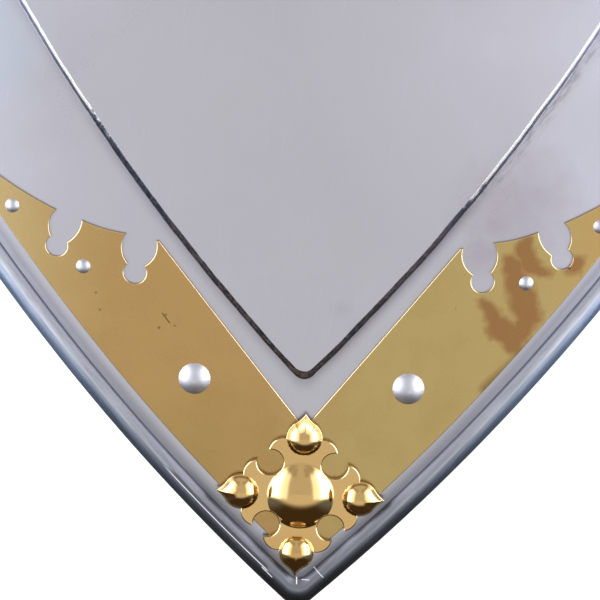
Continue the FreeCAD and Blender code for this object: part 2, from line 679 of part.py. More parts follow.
def rivet(name, head_radius, head_height, shank_radius, grip):
    """A rivet with a domed head in front of its seat and a peened tail behind what it grips."""
    body = add("PartDesign::Body", name)
    sketch = body.newObject("Sketcher::SketchObject", name + "_profile")
    plane = [item for item in body.Origin.OriginFeatures if item.Role == "XZ_Plane"][0]
    sketch.AttachmentSupport = [(plane, "")]
    sketch.MapMode = "FlatFace"
    for label, rule in (("HeadRadius", head_radius), ("HeadHeight", head_height),
                        ("ShankRadius", shank_radius), ("Grip", grip),
                        ("TailRadius", f"{shank_radius} + Size.tail_spread"),
                        ("TailHeight", "Size.tail_height")):
        sketch.addProperty("App::PropertyFloat", label)
        sketch.setExpression(label, rule)
    sketch.recompute()
    head, high, shank = sketch.HeadRadius, sketch.HeadHeight, sketch.ShankRadius
    tail, low, back = sketch.TailRadius, sketch.TailHeight, -sketch.Grip

    def cap(radius, height, base, direction):
        curve = (radius ** 2 + height ** 2) / (2 * height)
        middle = Vector(0, base + direction * (height - curve), 0)
        circle = Part.Circle(middle, Vector(0, 0, 1), curve)
        spread = math.asin(radius / curve)
        if direction > 0:
            return Part.ArcOfCircle(circle, math.pi / 2 - spread, math.pi / 2)
        return Part.ArcOfCircle(circle, -math.pi / 2, spread - math.pi / 2)

    def line(x0, y0, x1, y1):
        return Part.LineSegment(Vector(x0, y0, 0), Vector(x1, y1, 0))

    sketch.addGeometry([
        cap(head, high, 0, 1),
        line(head, 0, shank, 0),
        line(shank, 0, shank, back),
        line(shank, back, tail, back),
        cap(tail, low, back, -1),
        line(0, back - low, 0, high),
    ], False)
    start, end, centre, origin, upright_axis = 1, 2, 3, -1, -2
    meetings = ((0, start, 1, start), (1, end, 2, start), (2, end, 3, start), (3, end, 4, end),
                (4, start, 5, start), (5, end, 0, end))
    for meeting in meetings:
        sketch.addConstraint(Sketcher.Constraint("Coincident", *meeting))
    for geometry, point in ((0, centre), (4, centre), (5, start), (5, end)):
        sketch.addConstraint(Sketcher.Constraint("PointOnObject", geometry, point, upright_axis))
    for kind, geometry in (("Horizontal", 1), ("Vertical", 2), ("Horizontal", 3)):
        sketch.addConstraint(Sketcher.Constraint(kind, geometry))
    sketch.addConstraint(Sketcher.Constraint("DistanceY", origin, start, 1, start, 0))
    measures = (
        (("DistanceY", origin, start, 5, end), high, "HeadHeight"),
        (("DistanceX", origin, start, 1, start), head, "HeadRadius"),
        (("DistanceX", origin, start, 1, end), shank, "ShankRadius"),
        (("DistanceY", 2, end, origin, start), -back, "Grip"),
        (("DistanceX", origin, start, 3, end), tail, "TailRadius"),
        (("DistanceY", 5, start, origin, start), low - back, "Grip + TailHeight"),
    )
    for kind, value, rule in measures:
        place = sketch.addConstraint(Sketcher.Constraint(*kind, value))
        sketch.setExpression(f"Constraints[{place}]", rule)
    turned = body.newObject("PartDesign::Revolution", name + "_turned")
    turned.Profile = sketch
    turned.ReferenceAxis = (sketch, ["V_Axis"])
    turned.Angle = 360
    body.Tip = turned
    return body


def disc(name, radius_rule, hole_rule, height_rule):
    """A flat ring that starts at its frame's origin and reaches towards -Z."""
    outer = bind(add("Part::Cylinder", name + "_outer"), Radius=radius_rule, Height=height_rule)
    inner = bind(add("Part::Cylinder", name + "_hole"), Radius=hole_rule, Height=height_rule)
    for item in (outer, inner):
        bind(item, Placement__Base__z=f"-({height_rule})")
    return cut(name, outer, inner)


def behind(place, distance):
    return place.multiply(Placement(Vector(0, 0, -distance), Rotation()))


def set_in(label, pattern, places, distance=0):
    """Copies of one piece at many places, as one group of separate solids."""
    document.recompute()
    group = [moved(pattern.Shape, behind(place, distance)) for place in places]
    return keep(drawn(label + "_group", Part.makeCompound(group)), label)


mount_grip = "Size.mount_thickness + Size.sheet_thickness + Size.seat_gap"
set_in("large_rivets", rivet("large_rivet", "Size.large_head_radius", "Size.large_head_height",
                             "Size.large_shank_radius", mount_grip), large_places)
set_in("small_rivets", rivet("small_rivet", "Size.small_head_radius", "Size.small_head_height",
                             "Size.small_shank_radius", mount_grip), small_places)

nut_seat = size("mount_thickness") + SHEET + size("seat_gap")
stud_rule = ("Size.stud_depth + Size.mount_thickness + Size.sheet_thickness + Size.washer_thickness"
             " + Size.nut_thickness + Size.stud_end")
stud = bind(add("Part::Cylinder", "stud"), Radius="Size.stud_radius", Height=stud_rule,
            Placement__Base__z=f"Size.stud_depth - ({stud_rule})")
set_in("boss_studs", stud, boss_places.values())
stud_hole = "Size.stud_radius + Size.thread_clearance"
washer = disc("washer", "Size.washer_radius", stud_hole, "Size.washer_thickness")
set_in("boss_washers", washer, boss_places.values(), nut_seat)
nut_block = add("Part::Prism", "nut_block")
nut_block.Polygon = 6
bind(nut_block, Circumradius="Size.nut_width / sqrt(3)", Height="Size.nut_thickness",
     Placement__Base__z="-Size.nut_thickness")
nut_hole = bind(add("Part::Cylinder", "nut_hole"), Radius=stud_hole, Height="Size.nut_thickness",
                Placement__Base__z="-Size.nut_thickness")
nut = cut("nut", nut_block, nut_hole)
set_in("boss_nuts", nut, boss_places.values(), nut_seat + size("washer_thickness"))


def rig_rivet(name, places, layers_rule):
    """Strap rivets through the sheet and what lies behind it."""
    pattern = rivet(name, "Size.strap_head_radius", "Size.strap_head_height", "Size.strap_shank_radius",
                    f"Size.sheet_thickness + {layers_rule} + Size.seat_gap")
    document.recompute()
    return [moved(pattern.Shape, place) for place in places]


def hollow_rule(width):
    """Rule for the depth of the field's hollow back under a flat piece of a named width."""
    back = "(Size.bend_radius + Size.field_rise - Size.sheet_thickness)"
    return f"({back} - sqrt({back}^2 - (Size.{width} / 2)^2))"


strap_rivets = rig_rivet("forearm_rivet", forearm_rivets,
                         f"{hollow_rule('forearm_width')} + Size.forearm_thickness + Size.burr_thickness")
strap_rivets += rig_rivet("hand_rivet", hand_rivets,
                          f"{hollow_rule('hand_width')} + Size.hand_thickness + Size.burr_thickness")
keep(drawn("strap_rivets_group", Part.makeCompound(strap_rivets)), "strap_rivets")
keep(drawn("pad_rivets_group", Part.makeCompound(
    rig_rivet("pad_rivet", pad_rivet_places,
              "Size.pad_clearance + Size.pad_seat + Size.burr_thickness"))), "pad_rivets")
keep(drawn("hanger_rivets_group", Part.makeCompound(
    rig_rivet("hanger_rivet", hanger_rivet_places,
              f"{hollow_rule('hanger_width')} + Size.hanger_thickness"))), "hanger_rivets")
keep(drawn("ring_rivets_group", Part.makeCompound(
    rig_rivet("ring_rivet", ring_rivet_places,
              f"{hollow_rule('tab_width')} + 2 * Size.tab_thickness + Size.leather_gap"))), "ring_rivets")

burr = disc("burr", "Size.burr_radius", "Size.strap_shank_radius + Size.hole_clearance",
            "Size.burr_thickness")
document.recompute()
strap_washers = []
for places, width, thickness in ((forearm_rivets, "forearm_width", "forearm_thickness"),
                                 (hand_rivets, "hand_width", "hand_thickness")):
    depth = SHEET + hollow_under(size(width)) + size(thickness)
    strap_washers += [moved(burr.Shape, behind(place, depth)) for place in places]
keep(drawn("strap_washers_group", Part.makeCompound(strap_washers)), "strap_washers")
set_in("pad_washers", burr, pad_rivet_places, SHEET + size("pad_clearance") + size("pad_seat"))


# Strips bent from sheet or leather: a path in the YZ plane, given a thickness and then a width


def bent_path(points, radii):
    """Stations of a path with rounded corners: lines and arcs, each a list of points and left normals."""
    runs = []
    last = points[0]
    for corner, after, radius in zip(points[1:-1], points[2:], radii):
        into = (corner - last).normalize()
        out = (after - corner).normalize()
        turn = into.getAngle(out)
        side = 1 if into.cross(out).x > 0 else -1
        trim = radius * math.tan(turn / 2)
        begin = corner - into * trim
        end = corner + out * trim
        normal_in = Vector(0, -into.z, into.y)
        normal_out = Vector(0, -out.z, out.y)
        normal_middle = (normal_in + normal_out).normalize()
        centre = begin + normal_in * (side * radius)
        middle = centre - normal_middle * (side * radius)
        if (begin - last).Length > size("seat_gap"):
            runs.append([(last, normal_in), (begin, normal_in)])
        runs.append([(begin, normal_in), (middle, normal_middle), (end, normal_out)])
        last = end
    out = (points[-1] - last).normalize()
    normal = Vector(0, -out.z, out.y)
    runs.append([(last, normal), (points[-1], normal)])
    return runs


def strip_outline(points, radii, thickness):
    """Closed outline of a path in the YZ plane thickened by half to each side."""
    edges = []
    ends = []
    for offset in (-thickness / 2, thickness / 2):
        for run in bent_path(points, radii):
            spots = [point + normal * offset for point, normal in run]
            if len(spots) == 2:
                edges.append(Part.LineSegment(*spots).toShape())
            else:
                edges.append(Part.Arc(*spots).toShape())
            ends.append((spots[0], spots[-1]))
    runs = len(ends) // 2
    edges.append(Part.LineSegment(ends[0][0], ends[runs][0]).toShape())
    edges.append(Part.LineSegment(ends[runs - 1][1], ends[-1][1]).toShape())
    return Part.Wire(Part.__sortEdges__(edges))


def strip(name, points, radii, thickness, width):
    """A bent strip whose width is a named size, centred on its own YZ plane."""
    outline = strip_outline(points, radii, size(thickness))
    outline.translate(Vector(-size(width) / 2, 0, 0))
    item = add("Part::Extrusion", name)
    item.Base = drawn(name + "_outline", outline)
    item.DirMode = "Custom"
    item.Dir = Vector(1, 0, 0)
    item.Solid = True
    return bind(item, LengthFwd=f"Size.{width}")


def yz(depth, up):
    return Vector(0, depth, up)


def block(name, x, y, z):
    """A box between two limits on each axis."""
    corner = Vector(x[0], y[0], z[0])
    return drawn(name, Part.makeBox(x[1] - x[0], y[1] - y[0], z[1] - z[0], corner))


def shank_holes(name, places, anchor):
    """Holes for strap rivets, in the frame of the piece that is anchored there."""
    radius = size("strap_shank_radius") + CLEAR
    tool = Part.makeCylinder(radius, 2 * OVERRUN, Vector(0, 0, -OVERRUN))
    back = anchor.inverse()
    return drawn(name, Part.makeCompound([moved(tool, back.multiply(place)) for place in places]))


FOREARM = back_place(FOREARM_X, ARM_LEVEL)
LEATHER = size("forearm_thickness")
GAP = size("leather_gap")
BAR = size("bar_radius")
PLAY = size("pivot_clearance")
TONGUE = size("tongue_radius")

# Measures of the buckle: hinge bar's middle, and the strap's distances from it
WRAP = BAR + PLAY + LEATHER / 2
BAR_Y = size("forearm_depth") - WRAP
BAR_Z = -size("buckle_drop")
FAR_Z = BAR_Z - size("buckle_window")
OVER = WRAP + LEATHER + GAP
UNDER = BAR + size("bar_gap") + LEATHER / 2
STRAP_HALF = size("forearm_width") / 2
SLOT_HALF = TONGUE + size("slot_clearance")


def folded_end(wrap, thickness, gap, slope, leaf):
    """Points and bends of a leaf folded round a bar at the origin, first to last, going down the
    front of the bar and back up behind it: along is down and across is out of the main leaf."""
    trim = wrap * math.tan((math.pi / 2 + slope) / 2)
    across_end = wrap - thickness - gap
    start_along = -wrap * math.sin(slope)
    start_across = -wrap * math.cos(slope)
    landing = start_along - (across_end - start_across) / math.tan(slope)
    points = ((wrap, wrap), (wrap, -trim), (landing, across_end), (-leaf, across_end))
    return points, (wrap, wrap, thickness)


def foot_points(height, depth, thickness, width, side):
    """Foot on the plate and the leg up to the far corner, for the upper (1) or lower (-1) side."""
    rest = hollow_under(width) + thickness / 2
    end = height / 2 + size("foot_length")
    return [yz(rest, side * end), yz(rest, side * height / 2), yz(depth, side * height / 2)]


# Upper part of the forearm strap, folded round the buckle's hinge bar
fold, fold_bends = folded_end(WRAP, LEATHER, GAP, math.radians(size("fold_slope")), size("chape_leaf"))
upper_points = foot_points(size("forearm_height"), size("forearm_depth"), LEATHER, size("forearm_width"), 1)
upper_points += [yz(BAR_Y + across, BAR_Z - along) for along, across in fold]
upper_bends = (size("foot_bend"), size("forearm_bend")) + fold_bends
upper_strip = strip("upper_strip", upper_points, upper_bends, "forearm_thickness", "forearm_width")
ring_clear = BAR + PLAY + 2 * TONGUE + size("slot_clearance")
tongue_slot = block("tongue_slot", (-SLOT_HALF, SLOT_HALF), (BAR_Y - OVERRUN, BAR_Y + OVERRUN),
                    (BAR_Z - OVERRUN, BAR_Z + ring_clear))
upper_tools = joined("upper_tools", [tongue_slot, shank_holes("upper_holes", forearm_rivets, FOREARM)])
keep(cut("upper_strap", upper_strip, upper_tools), "forearm_strap_upper", FOREARM)

# Lower part of the forearm strap, under the far bar, up through the buckle and over the hinge bar
slope = math.radians(size("tail_slope"))
crest = OVER * math.tan(slope / 2)
dip = crest + (OVER + UNDER) / math.tan(slope)
low_depth = BAR_Y - UNDER
lower_points = foot_points(size("forearm_height"), low_depth, LEATHER, size("forearm_width"), -1)
lower_points += [yz(low_depth, BAR_Z - dip), yz(BAR_Y + OVER, BAR_Z - crest),
                 yz(BAR_Y + OVER, BAR_Z + size("tail_length"))]
lower_bends = (size("foot_bend"), size("forearm_bend"), size("tail_bend"), OVER)
lower_strip = strip("lower_strip", lower_points, lower_bends, "forearm_thickness", "forearm_width")
lift = math.asin((BAR + TONGUE + GAP) / size("buckle_window"))
lean = (OVER + LEATHER / 2 / math.cos(slope) + crest * math.tan(slope) + TONGUE / math.cos(lift))
slot_foot = lean / (math.tan(slope) + math.tan(lift)) + size("slot_clearance")
tail_slot = block("tail_slot", (-SLOT_HALF, SLOT_HALF), (BAR_Y - UNDER, BAR_Y + OVERRUN),
                  (BAR_Z - slot_foot, BAR_Z + OVER))
tail_holes = []
for number in (1, 2):
    hole_z = BAR_Z + number * size("hole_pitch")
    tail_holes.append(Part.makeCylinder(SLOT_HALF, OVERRUN, Vector(0, BAR_Y, hole_z), Vector(0, 1, 0)))
tip_z = BAR_Z + size("tail_length")
tip_cuts = []
for side in (-1, 1):
    corner_points = [Vector(side * STRAP_HALF, BAR_Y, tip_z - size("tail_point")),
                     Vector(side * STRAP_HALF, BAR_Y, tip_z + OVERRUN),
                     Vector(0, BAR_Y, tip_z + OVERRUN), Vector(0, BAR_Y, tip_z)]
    face = Part.Face(Part.makePolygon(corner_points + corner_points[:1]))
    tip_cuts.append(face.extrude(Vector(0, OVERRUN, 0)))
tail_tools = drawn("tail_tools", Part.makeCompound(tail_holes + tip_cuts))
lower_tools = joined("lower_tools", [tail_slot, tail_tools,
                                     shank_holes("lower_holes", forearm_rivets, FOREARM)])
keep(cut("lower_strap", lower_strip, lower_tools), "forearm_strap_lower", FOREARM)

# Keeper loop round the strap and its tail
half_in = STRAP_HALF + size("keeper_clearance")
low_in = size("forearm_depth") - LEATHER / 2 - size("keeper_clearance")
high_in = BAR_Y + OVER + LEATHER / 2 + size("keeper_clearance")
keeper_z = BAR_Z + size("keeper_place")
UPRIGHT_SHARE = 0.9
wall = size("keeper_thickness")
half_long = size("keeper_length") / 2
keeper_outer = block("keeper_outer", (-half_in - wall, half_in + wall), (low_in - wall, high_in + wall),
                     (keeper_z - half_long, keeper_z + half_long))
keeper_inner = block("keeper_inner", (-half_in, half_in), (low_in, high_in),
                     (keeper_z - OVERRUN, keeper_z + OVERRUN))
document.recompute()
keeper_round = add("Part::Fillet", "keeper_round")
keeper_round.Base = keeper_outer
keeper_round.Edges = [(number, wall / 2, wall / 2) for number, edge in enumerate(keeper_outer.Shape.Edges, 1)
                      if abs(edge.tangentAt(edge.FirstParameter).z) > UPRIGHT_SHARE]
keep(cut("keeper", keeper_round, keeper_inner), "strap_keeper", FOREARM)


# Bent wire: the buckle's frame and the two rings


def wire_loop(points, radii, radius):
    """A closed loop of round wire along corners with bends, in its own XZ plane."""
    edges = []
    count = len(points)
    firsts = []
    lasts = []
    for number, corner in enumerate(points):
        into = (corner - points[number - 1]).normalize()
        out = (points[(number + 1) % count] - corner).normalize()
        turn = into.getAngle(out)
        trim = radii[number] * math.tan(turn / 2)
        begin = corner - into * trim
        end = corner + out * trim
        inward = (out - into).normalize()
        centre_distance = radii[number] / math.cos(turn / 2)
        middle = corner + inward * (centre_distance - radii[number])
        edges.append(Part.Arc(begin, middle, end).toShape())
        firsts.append(begin)
        lasts.append(end)
    for number in range(count):
        following = firsts[(number + 1) % count]
        if (following - lasts[number]).Length > size("seat_gap"):
            edges.append(Part.LineSegment(lasts[number], following).toShape())
    path = Part.Wire(Part.__sortEdges__(edges))
    first = path.OrderedEdges[0]
    start = first.valueAt(first.FirstParameter)
    along = first.tangentAt(first.FirstParameter)
    section = Part.Wire(Part.makeCircle(radius, start, along))
    return path.makePipeShell([section], True, False)


side_wire = STRAP_HALF + size("buckle_side_gap") + BAR
window = size("buckle_window")
frame_corners = [Vector(-side_wire, 0, 0), Vector(side_wire, 0, 0), Vector(side_wire, 0, -window),
                 Vector(-side_wire, 0, -window)]
buckle_frame = drawn("frame_wire", wire_loop(frame_corners, [size("buckle_corner")] * 4, BAR))
BAR_PLACE = FOREARM.multiply(Placement(yz(BAR_Y, BAR_Z), Rotation()))
keep(buckle_frame, "buckle_frame", BAR_PLACE)

# Tongue: an eye round the hinge bar and a pin that lies on the far bar
eye_ring = add("Part::Torus", "tongue_eye")
bind(eye_ring, Radius1="Size.bar_radius + Size.pivot_clearance + Size.tongue_radius",
     Radius2="Size.tongue_radius")
eye_ring.Placement = Placement(Vector(0, 0, 0), Rotation(Vector(0, 1, 0), 90))
pin_turn = Rotation(Vector(1, 0, 0), 180 + math.degrees(lift))
pin_start = BAR + PLAY + TONGUE
pin_length = window / math.cos(lift) + size("tongue_end") - pin_start
pin_rule = "Size.tongue_radius - Size.tongue_thinning"
pin = bind(add("Part::Cylinder", "tongue_pin"), Radius=pin_rule)
pin.Height = pin_length
pin.Placement = Placement(pin_turn.multVec(Vector(0, 0, pin_start)), pin_turn)
pin_end = bind(add("Part::Sphere", "tongue_end"), Radius=pin_rule)
pin_end.Placement = Placement(pin_turn.multVec(Vector(0, 0, pin_start + pin_length)), pin_turn)
keep(joined("tongue", [eye_ring, pin, pin_end]), "buckle_tongue", BAR_PLACE)

# Hand strap
HAND = back_place(HAND_X, ARM_LEVEL)
hand_points = foot_points(size("hand_height"), size("hand_depth"), size("hand_thickness"),
                          size("hand_width"), 1)
hand_points += foot_points(size("hand_height"), size("hand_depth"), size("hand_thickness"),
                           size("hand_width"), -1)[::-1]
hand_bends = (size("foot_bend"), size("hand_bend"), size("hand_bend"), size("foot_bend"))
hand_strip = strip("hand_strip", hand_points, hand_bends, "hand_thickness", "hand_width")
keep(cut("hand", hand_strip, shank_holes("hand_holes", hand_rivets, HAND)), "hand_strap", HAND)

# Arm pad: a stuffed cushion that follows the plate, crowned behind, with its sides drawn in


def pad_outline():
    half_x = size("pad_length") / 2
    half_z = size("pad_height") / 2
    draw = size("pad_draw")
    corners = [Vector(-half_x, 0, -half_z), Vector(half_x, 0, -half_z), Vector(half_x, 0, half_z),
               Vector(-half_x, 0, half_z)]
    middles = [Vector(0, 0, draw - half_z), Vector(half_x - draw, 0, 0), Vector(0, 0, half_z - draw),
               Vector(draw - half_x, 0, 0)]
    edges = [Part.Arc(corners[i], middles[i], corners[(i + 1) % 4]).toShape() for i in range(4)]
    wire = Part.Wire(edges)
    wire.translate(Vector(PAD_X, -OVERRUN, ARM_LEVEL))
    return wire


def crown(span, drop, along):
    """A drum whose round side is the pad's back, lower by drop at half its span."""
    radius = (span ** 2 / 4 + drop ** 2) / (2 * drop)
    length = 2 * size("pad_length")
    top = back_place(PAD_X, ARM_LEVEL).multVec(Vector(0, size("pad_crown") - radius, 0))
    return Part.makeCylinder(radius, length, top - along * (length / 2), along)


pad_plan = upright("pad_plan", drawn("pad_outline", pad_outline()))
document.recompute()
pad_corners = add("Part::Fillet", "pad_corners")
pad_corners.Base = pad_plan
pad_corners.Edges = [(number, size("pad_corner"), size("pad_corner"))
                     for number, edge in enumerate(pad_plan.Shape.Edges, 1)
                     if edge.BoundBox.YLength > OVERRUN]
pad_front = drum("pad_front", "Size.bend_radius + Size.field_rise - Size.sheet_thickness"
                              " - Size.pad_clearance")
fall = size("pad_crown") - size("pad_edge")
crown_long = drawn("crown_long", crown(size("pad_length"), fall - hollow_under(size("pad_length")),
                                       Vector(0, 0, 1)))
tangent = back_place(PAD_X, ARM_LEVEL).Rotation.multVec(Vector(1, 0, 0))
crown_high = drawn("crown_high", crown(size("pad_height"), fall, tangent))
pad_blank = shared("pad_blank", [pad_corners, pad_front, crown_long, crown_high])
seat_depth = SHEET + size("pad_clearance") + size("pad_seat")
seat_tool = Part.makeCylinder(size("burr_radius") + GAP, OVERRUN, Vector(0, 0, -OVERRUN))
pad_seats = drawn("pad_seats", Part.makeCompound([moved(seat_tool, behind(place, seat_depth))
                                                  for place in pad_rivet_places]))
pad_tools = joined("pad_tools", [pad_seats, shank_holes("pad_holes", pad_rivet_places, Placement())])
keep(cut("pad", pad_blank, pad_tools), "arm_pad")

# Hanger: a joggled strip with the eye for a wall hook
HANGER = back_place(0, HANGER_Z)
foot = size("hanger_foot") / 2
rest = hollow_under(size("hanger_width")) + size("hanger_thickness") / 2
head = rest + size("hanger_offset")
hanger_points = [yz(rest, -foot), yz(rest, foot), yz(head, foot + size("hanger_ramp")),
                 yz(head, foot + size("hanger_ramp") + size("hanger_head"))]
hanger_strip = strip("hanger_strip", hanger_points, (size("hanger_bend"), size("hanger_bend")),
                     "hanger_thickness", "hanger_width")
document.recompute()
hanger_round = add("Part::Fillet", "hanger_round")
hanger_round.Base = hanger_strip
hanger_round.Edges = [(number, size("eye_edge"), size("eye_edge"))
                      for number, edge in enumerate(hanger_strip.Shape.Edges, 1)
                      if edge.BoundBox.ZMin > EYE_RISE and edge.BoundBox.XLength < GAP]
eye_hole = Part.makeCylinder(size("eye_radius"), OVERRUN, Vector(0, 0, EYE_RISE), Vector(0, 1, 0))
hanger_tools = joined("hanger_tools", [drawn("eye_hole", eye_hole),
                                       shank_holes("hanger_holes", hanger_rivet_places, HANGER)])
keep(cut("hanger", hanger_round, hanger_tools), "hanger_tab", HANGER)

# Rings for a shoulder strap, each in a folded tab
TAB = size("tab_thickness")
TAB_WRAP = BAR + PLAY + TAB / 2
tab_rest = hollow_under(size("tab_width")) + TAB / 2
ring_half = size("ring_width") / 2
ring_low = -(size("ring_corner") + size("ring_leg") + ring_half)
ring_corners = [Vector(-ring_half, 0, 0), Vector(ring_half, 0, 0), Vector(ring_half, 0, ring_low),
                Vector(-ring_half, 0, ring_low)]
ring_bends = [size("ring_corner"), size("ring_corner"), ring_half, ring_half]
for side, word in ((-1, "left"), (1, "right")):
    place = back_place(side * size("ring_place"), RING_Z)
    fold, fold_bends = folded_end(TAB_WRAP, TAB, GAP, math.radians(size("fold_slope")), size("tab_leaf"))
    bar_depth = tab_rest + TAB_WRAP
    tab_points = [yz(tab_rest, size("tab_leaf"))]
    tab_points += [yz(bar_depth - across, -along) for along, across in fold]
    tab_strip = strip(f"tab_{word}_strip", tab_points, fold_bends, "tab_thickness", "tab_width")
    holes = shank_holes(f"tab_{word}_holes", ring_rivet_places, place)
    keep(cut(f"tab_{word}", tab_strip, holes), f"ring_tab_{word}", place)
    bar_place = place.multiply(Placement(yz(bar_depth, 0), Rotation()))
    ring = drawn(f"ring_{word}_wire", wire_loop(ring_corners, ring_bends, BAR))
    keep(ring, f"guige_ring_{word}", bar_place)
    axis = place.Rotation.multVec(Vector(1, 0, 0))
    print("ring", word, TO_EYE.multiply(bar_place).Base, axis)
print("buckle", TO_EYE.multiply(BAR_PLACE).Base, BAR_PLACE.Rotation.multVec(Vector(1, 0, 0)))
print("outline", "top", TOP + TO_EYE.Base.z, "point", TO_EYE.Base.z, "front", TO_EYE.Base.y)

# Check, then write each sub-part

document.recompute()
for item in document.Objects:
    if "Invalid" in item.State or "Error" in item.State:
        raise RuntimeError(f"{item.Name} failed: {item.State}")
os.makedirs("parts", exist_ok=True)
for item in sub_parts:
    shape = item.Shape
    if shape.isNull() or not shape.isValid():
        raise RuntimeError(f"{item.Label} has no valid shape")
    shape.exportStep(f"parts/{item.Label}.step")
    print(f"{item.Label}: {len(shape.Solids)} solids, {shape.Volume:.0f} mm3")
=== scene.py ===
import math
from bisect import bisect

import bmesh
import bpy
import numpy as np
from mathutils import Matrix, Vector, noise
from mathutils.bvhtree import BVHTree
from mathutils.geometry import delaunay_2d_cdt


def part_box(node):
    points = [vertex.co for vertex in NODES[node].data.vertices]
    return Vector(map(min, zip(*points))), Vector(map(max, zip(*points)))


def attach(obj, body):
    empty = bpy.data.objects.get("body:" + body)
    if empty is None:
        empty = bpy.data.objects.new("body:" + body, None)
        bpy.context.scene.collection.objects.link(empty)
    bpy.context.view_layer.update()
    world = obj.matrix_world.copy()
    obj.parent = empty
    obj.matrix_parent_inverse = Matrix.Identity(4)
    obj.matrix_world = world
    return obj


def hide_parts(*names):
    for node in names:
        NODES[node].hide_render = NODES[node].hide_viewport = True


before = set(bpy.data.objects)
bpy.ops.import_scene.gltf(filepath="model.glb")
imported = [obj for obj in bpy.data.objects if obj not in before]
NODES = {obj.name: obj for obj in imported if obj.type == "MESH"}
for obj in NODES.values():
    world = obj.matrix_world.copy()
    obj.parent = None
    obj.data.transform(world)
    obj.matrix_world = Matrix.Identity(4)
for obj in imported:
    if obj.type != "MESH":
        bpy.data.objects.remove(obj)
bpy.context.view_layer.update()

BODY = "shield"

# Sizes shared with the construction, in millimetres; metres only when a mesh is made
MM = 0.001
HALF_WIDTH = 230.0
SIDE_RADIUS = 690.0
SIDE_STRAIGHT = 100.0
SIDE_CENTRE = HALF_WIDTH - SIDE_RADIUS
SHOULDER = math.sqrt(SIDE_RADIUS**2 - SIDE_CENTRE**2)
TOP = SHOULDER + SIDE_STRAIGHT
BEND = 600.0
SHEET = 1.2
ROLL = 4.2
ROLL_BORE = 3.0
ROLL_DEPTH = 2.9
FIELD_INSET = 51.0
FIELD_RISE = 1.5
FIELD_BACK = BEND + FIELD_RISE - SHEET
PLATE_LOW, PLATE_HIGH = [[c / MM for c in corner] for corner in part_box("shield_plate")]
POINT_Z = PLATE_HIGH[2] - TOP
AXIS_Y = PLATE_LOW[1] + BEND + FIELD_RISE
UP = Vector((0, 0, 1))


# Places and meshes


def surface(x, rise):
    """Depth of the bent sheet at a place across it, so far in front of the border."""
    return AXIS_Y - math.sqrt((BEND + rise) ** 2 - x * x)


def facing(x, rise=0.0):
    """Directions to the right along the bent sheet and straight out of it."""
    sine = x / (BEND + rise)
    cosine = math.sqrt(1 - sine * sine)
    return Vector((cosine, sine, 0)), Vector((sine, -cosine, 0))


def drum(turn, depth, z):
    """Place behind the field: an angle about the bend's axis and a depth off the field's back."""
    reach = FIELD_BACK - depth
    return Vector((reach * math.sin(turn), AXIS_Y - reach * math.cos(turn), z))


def around(radius, angle, centre=(0, 0)):
    return centre[0] + radius * math.cos(angle), centre[1] + radius * math.sin(angle)


def limited(value, low=0.0, high=1.0):
    return min(high, max(low, value))


def straight(first, last, pitch):
    """Points along a line, without the first."""
    steps = max(1, round(math.dist(first, last) / pitch))
    shares = [k / steps for k in range(1, steps + 1)]
    return [tuple(a + (b - a) * share for a, b in zip(first, last)) for share in shares]


def loop_pairs(points):
    """Each point of a closed outline with the next one."""
    return zip(points, points[1:] + points[:1])


def cross(a, b, c):
    """Twice the area of a triangle in a plane, positive where it runs anticlockwise."""
    return (b[0] - a[0]) * (c[1] - a[1]) - (b[1] - a[1]) * (c[0] - a[0])


def lattice(runs, count, start=0, closed=False, ring=True):
    """Faces between rows of points: closed joins last row and first, ring each row's ends."""
    faces = []
    for k in range(runs if closed else runs - 1):
        low, high = start + k * count, start + (k + 1) % runs * count
        for i in range(count if ring else count - 1):
            j = (i + 1) % count
            faces.append((low + i, high + i, high + j, low + j))
    return faces


def lids(runs, count, start=0):
    """The two faces that close a lattice of rings."""
    first = range(start, start + count)
    return [tuple(first), tuple(v + (runs - 1) * count for v in reversed(first))]


def linked(name, data):
    made = bpy.data.objects.new(name, data)
    bpy.context.scene.collection.objects.link(made)
    return made


def made_object(name, points, faces, normals=None, materials=()):
    """An object from millimetre points; normals are one per face corner."""
    mesh = bpy.data.meshes.new(name)
    mesh.from_pydata([tuple(c * MM for c in p) for p in points], [], faces)
    mesh.polygons.foreach_set("use_smooth", [True] * len(mesh.polygons))
    for material in materials:
        mesh.materials.append(material)
    mesh.update()
    if normals is not None:
        mesh.normals_split_custom_set([tuple(n) for n in normals])
    return linked(name, mesh)


def oriented(made):
    """Make the normals of closed meshes point out of them."""
    work = bmesh.new()
    work.from_mesh(made.data)
    bmesh.ops.recalc_face_normals(work, faces=work.faces)
    work.to_mesh(made.data)
    work.free()
    return made


def applied(made):
    """The mesh with its modifiers made real."""
    bpy.context.view_layer.update()
    seen = made.evaluated_get(bpy.context.evaluated_depsgraph_get())
    mesh = bpy.data.meshes.new_from_object(seen)
    made.modifiers.clear()
    made.data = mesh


def joins(made, slot, *nodes):
    """The piece rides on the shield and stands for its CAD nodes; slot, its finish, is not used."""
    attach(made, BODY)
    if nodes:
        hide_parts(*nodes)
    return made


def stitches(name, slot, rows):
    """Saddle stitches, each a row of rings: middle, two directions across the thread and radius."""
    sides = 6
    points, faces = [], []
    for rings in rows:
        faces += lattice(len(rings), sides, len(points)) + lids(len(rings), sides, len(points))
        for middle, side, out, radius in rings:
            for k in range(sides):
                a, b = around(radius, 2 * math.pi * k / sides)
                points.append(middle + side * a + out * b)
    joins(oriented(made_object(name, points, faces, None, [THREAD])), slot)


# Materials


def dimmed(colour, share):
    return tuple(c * share for c in colour)


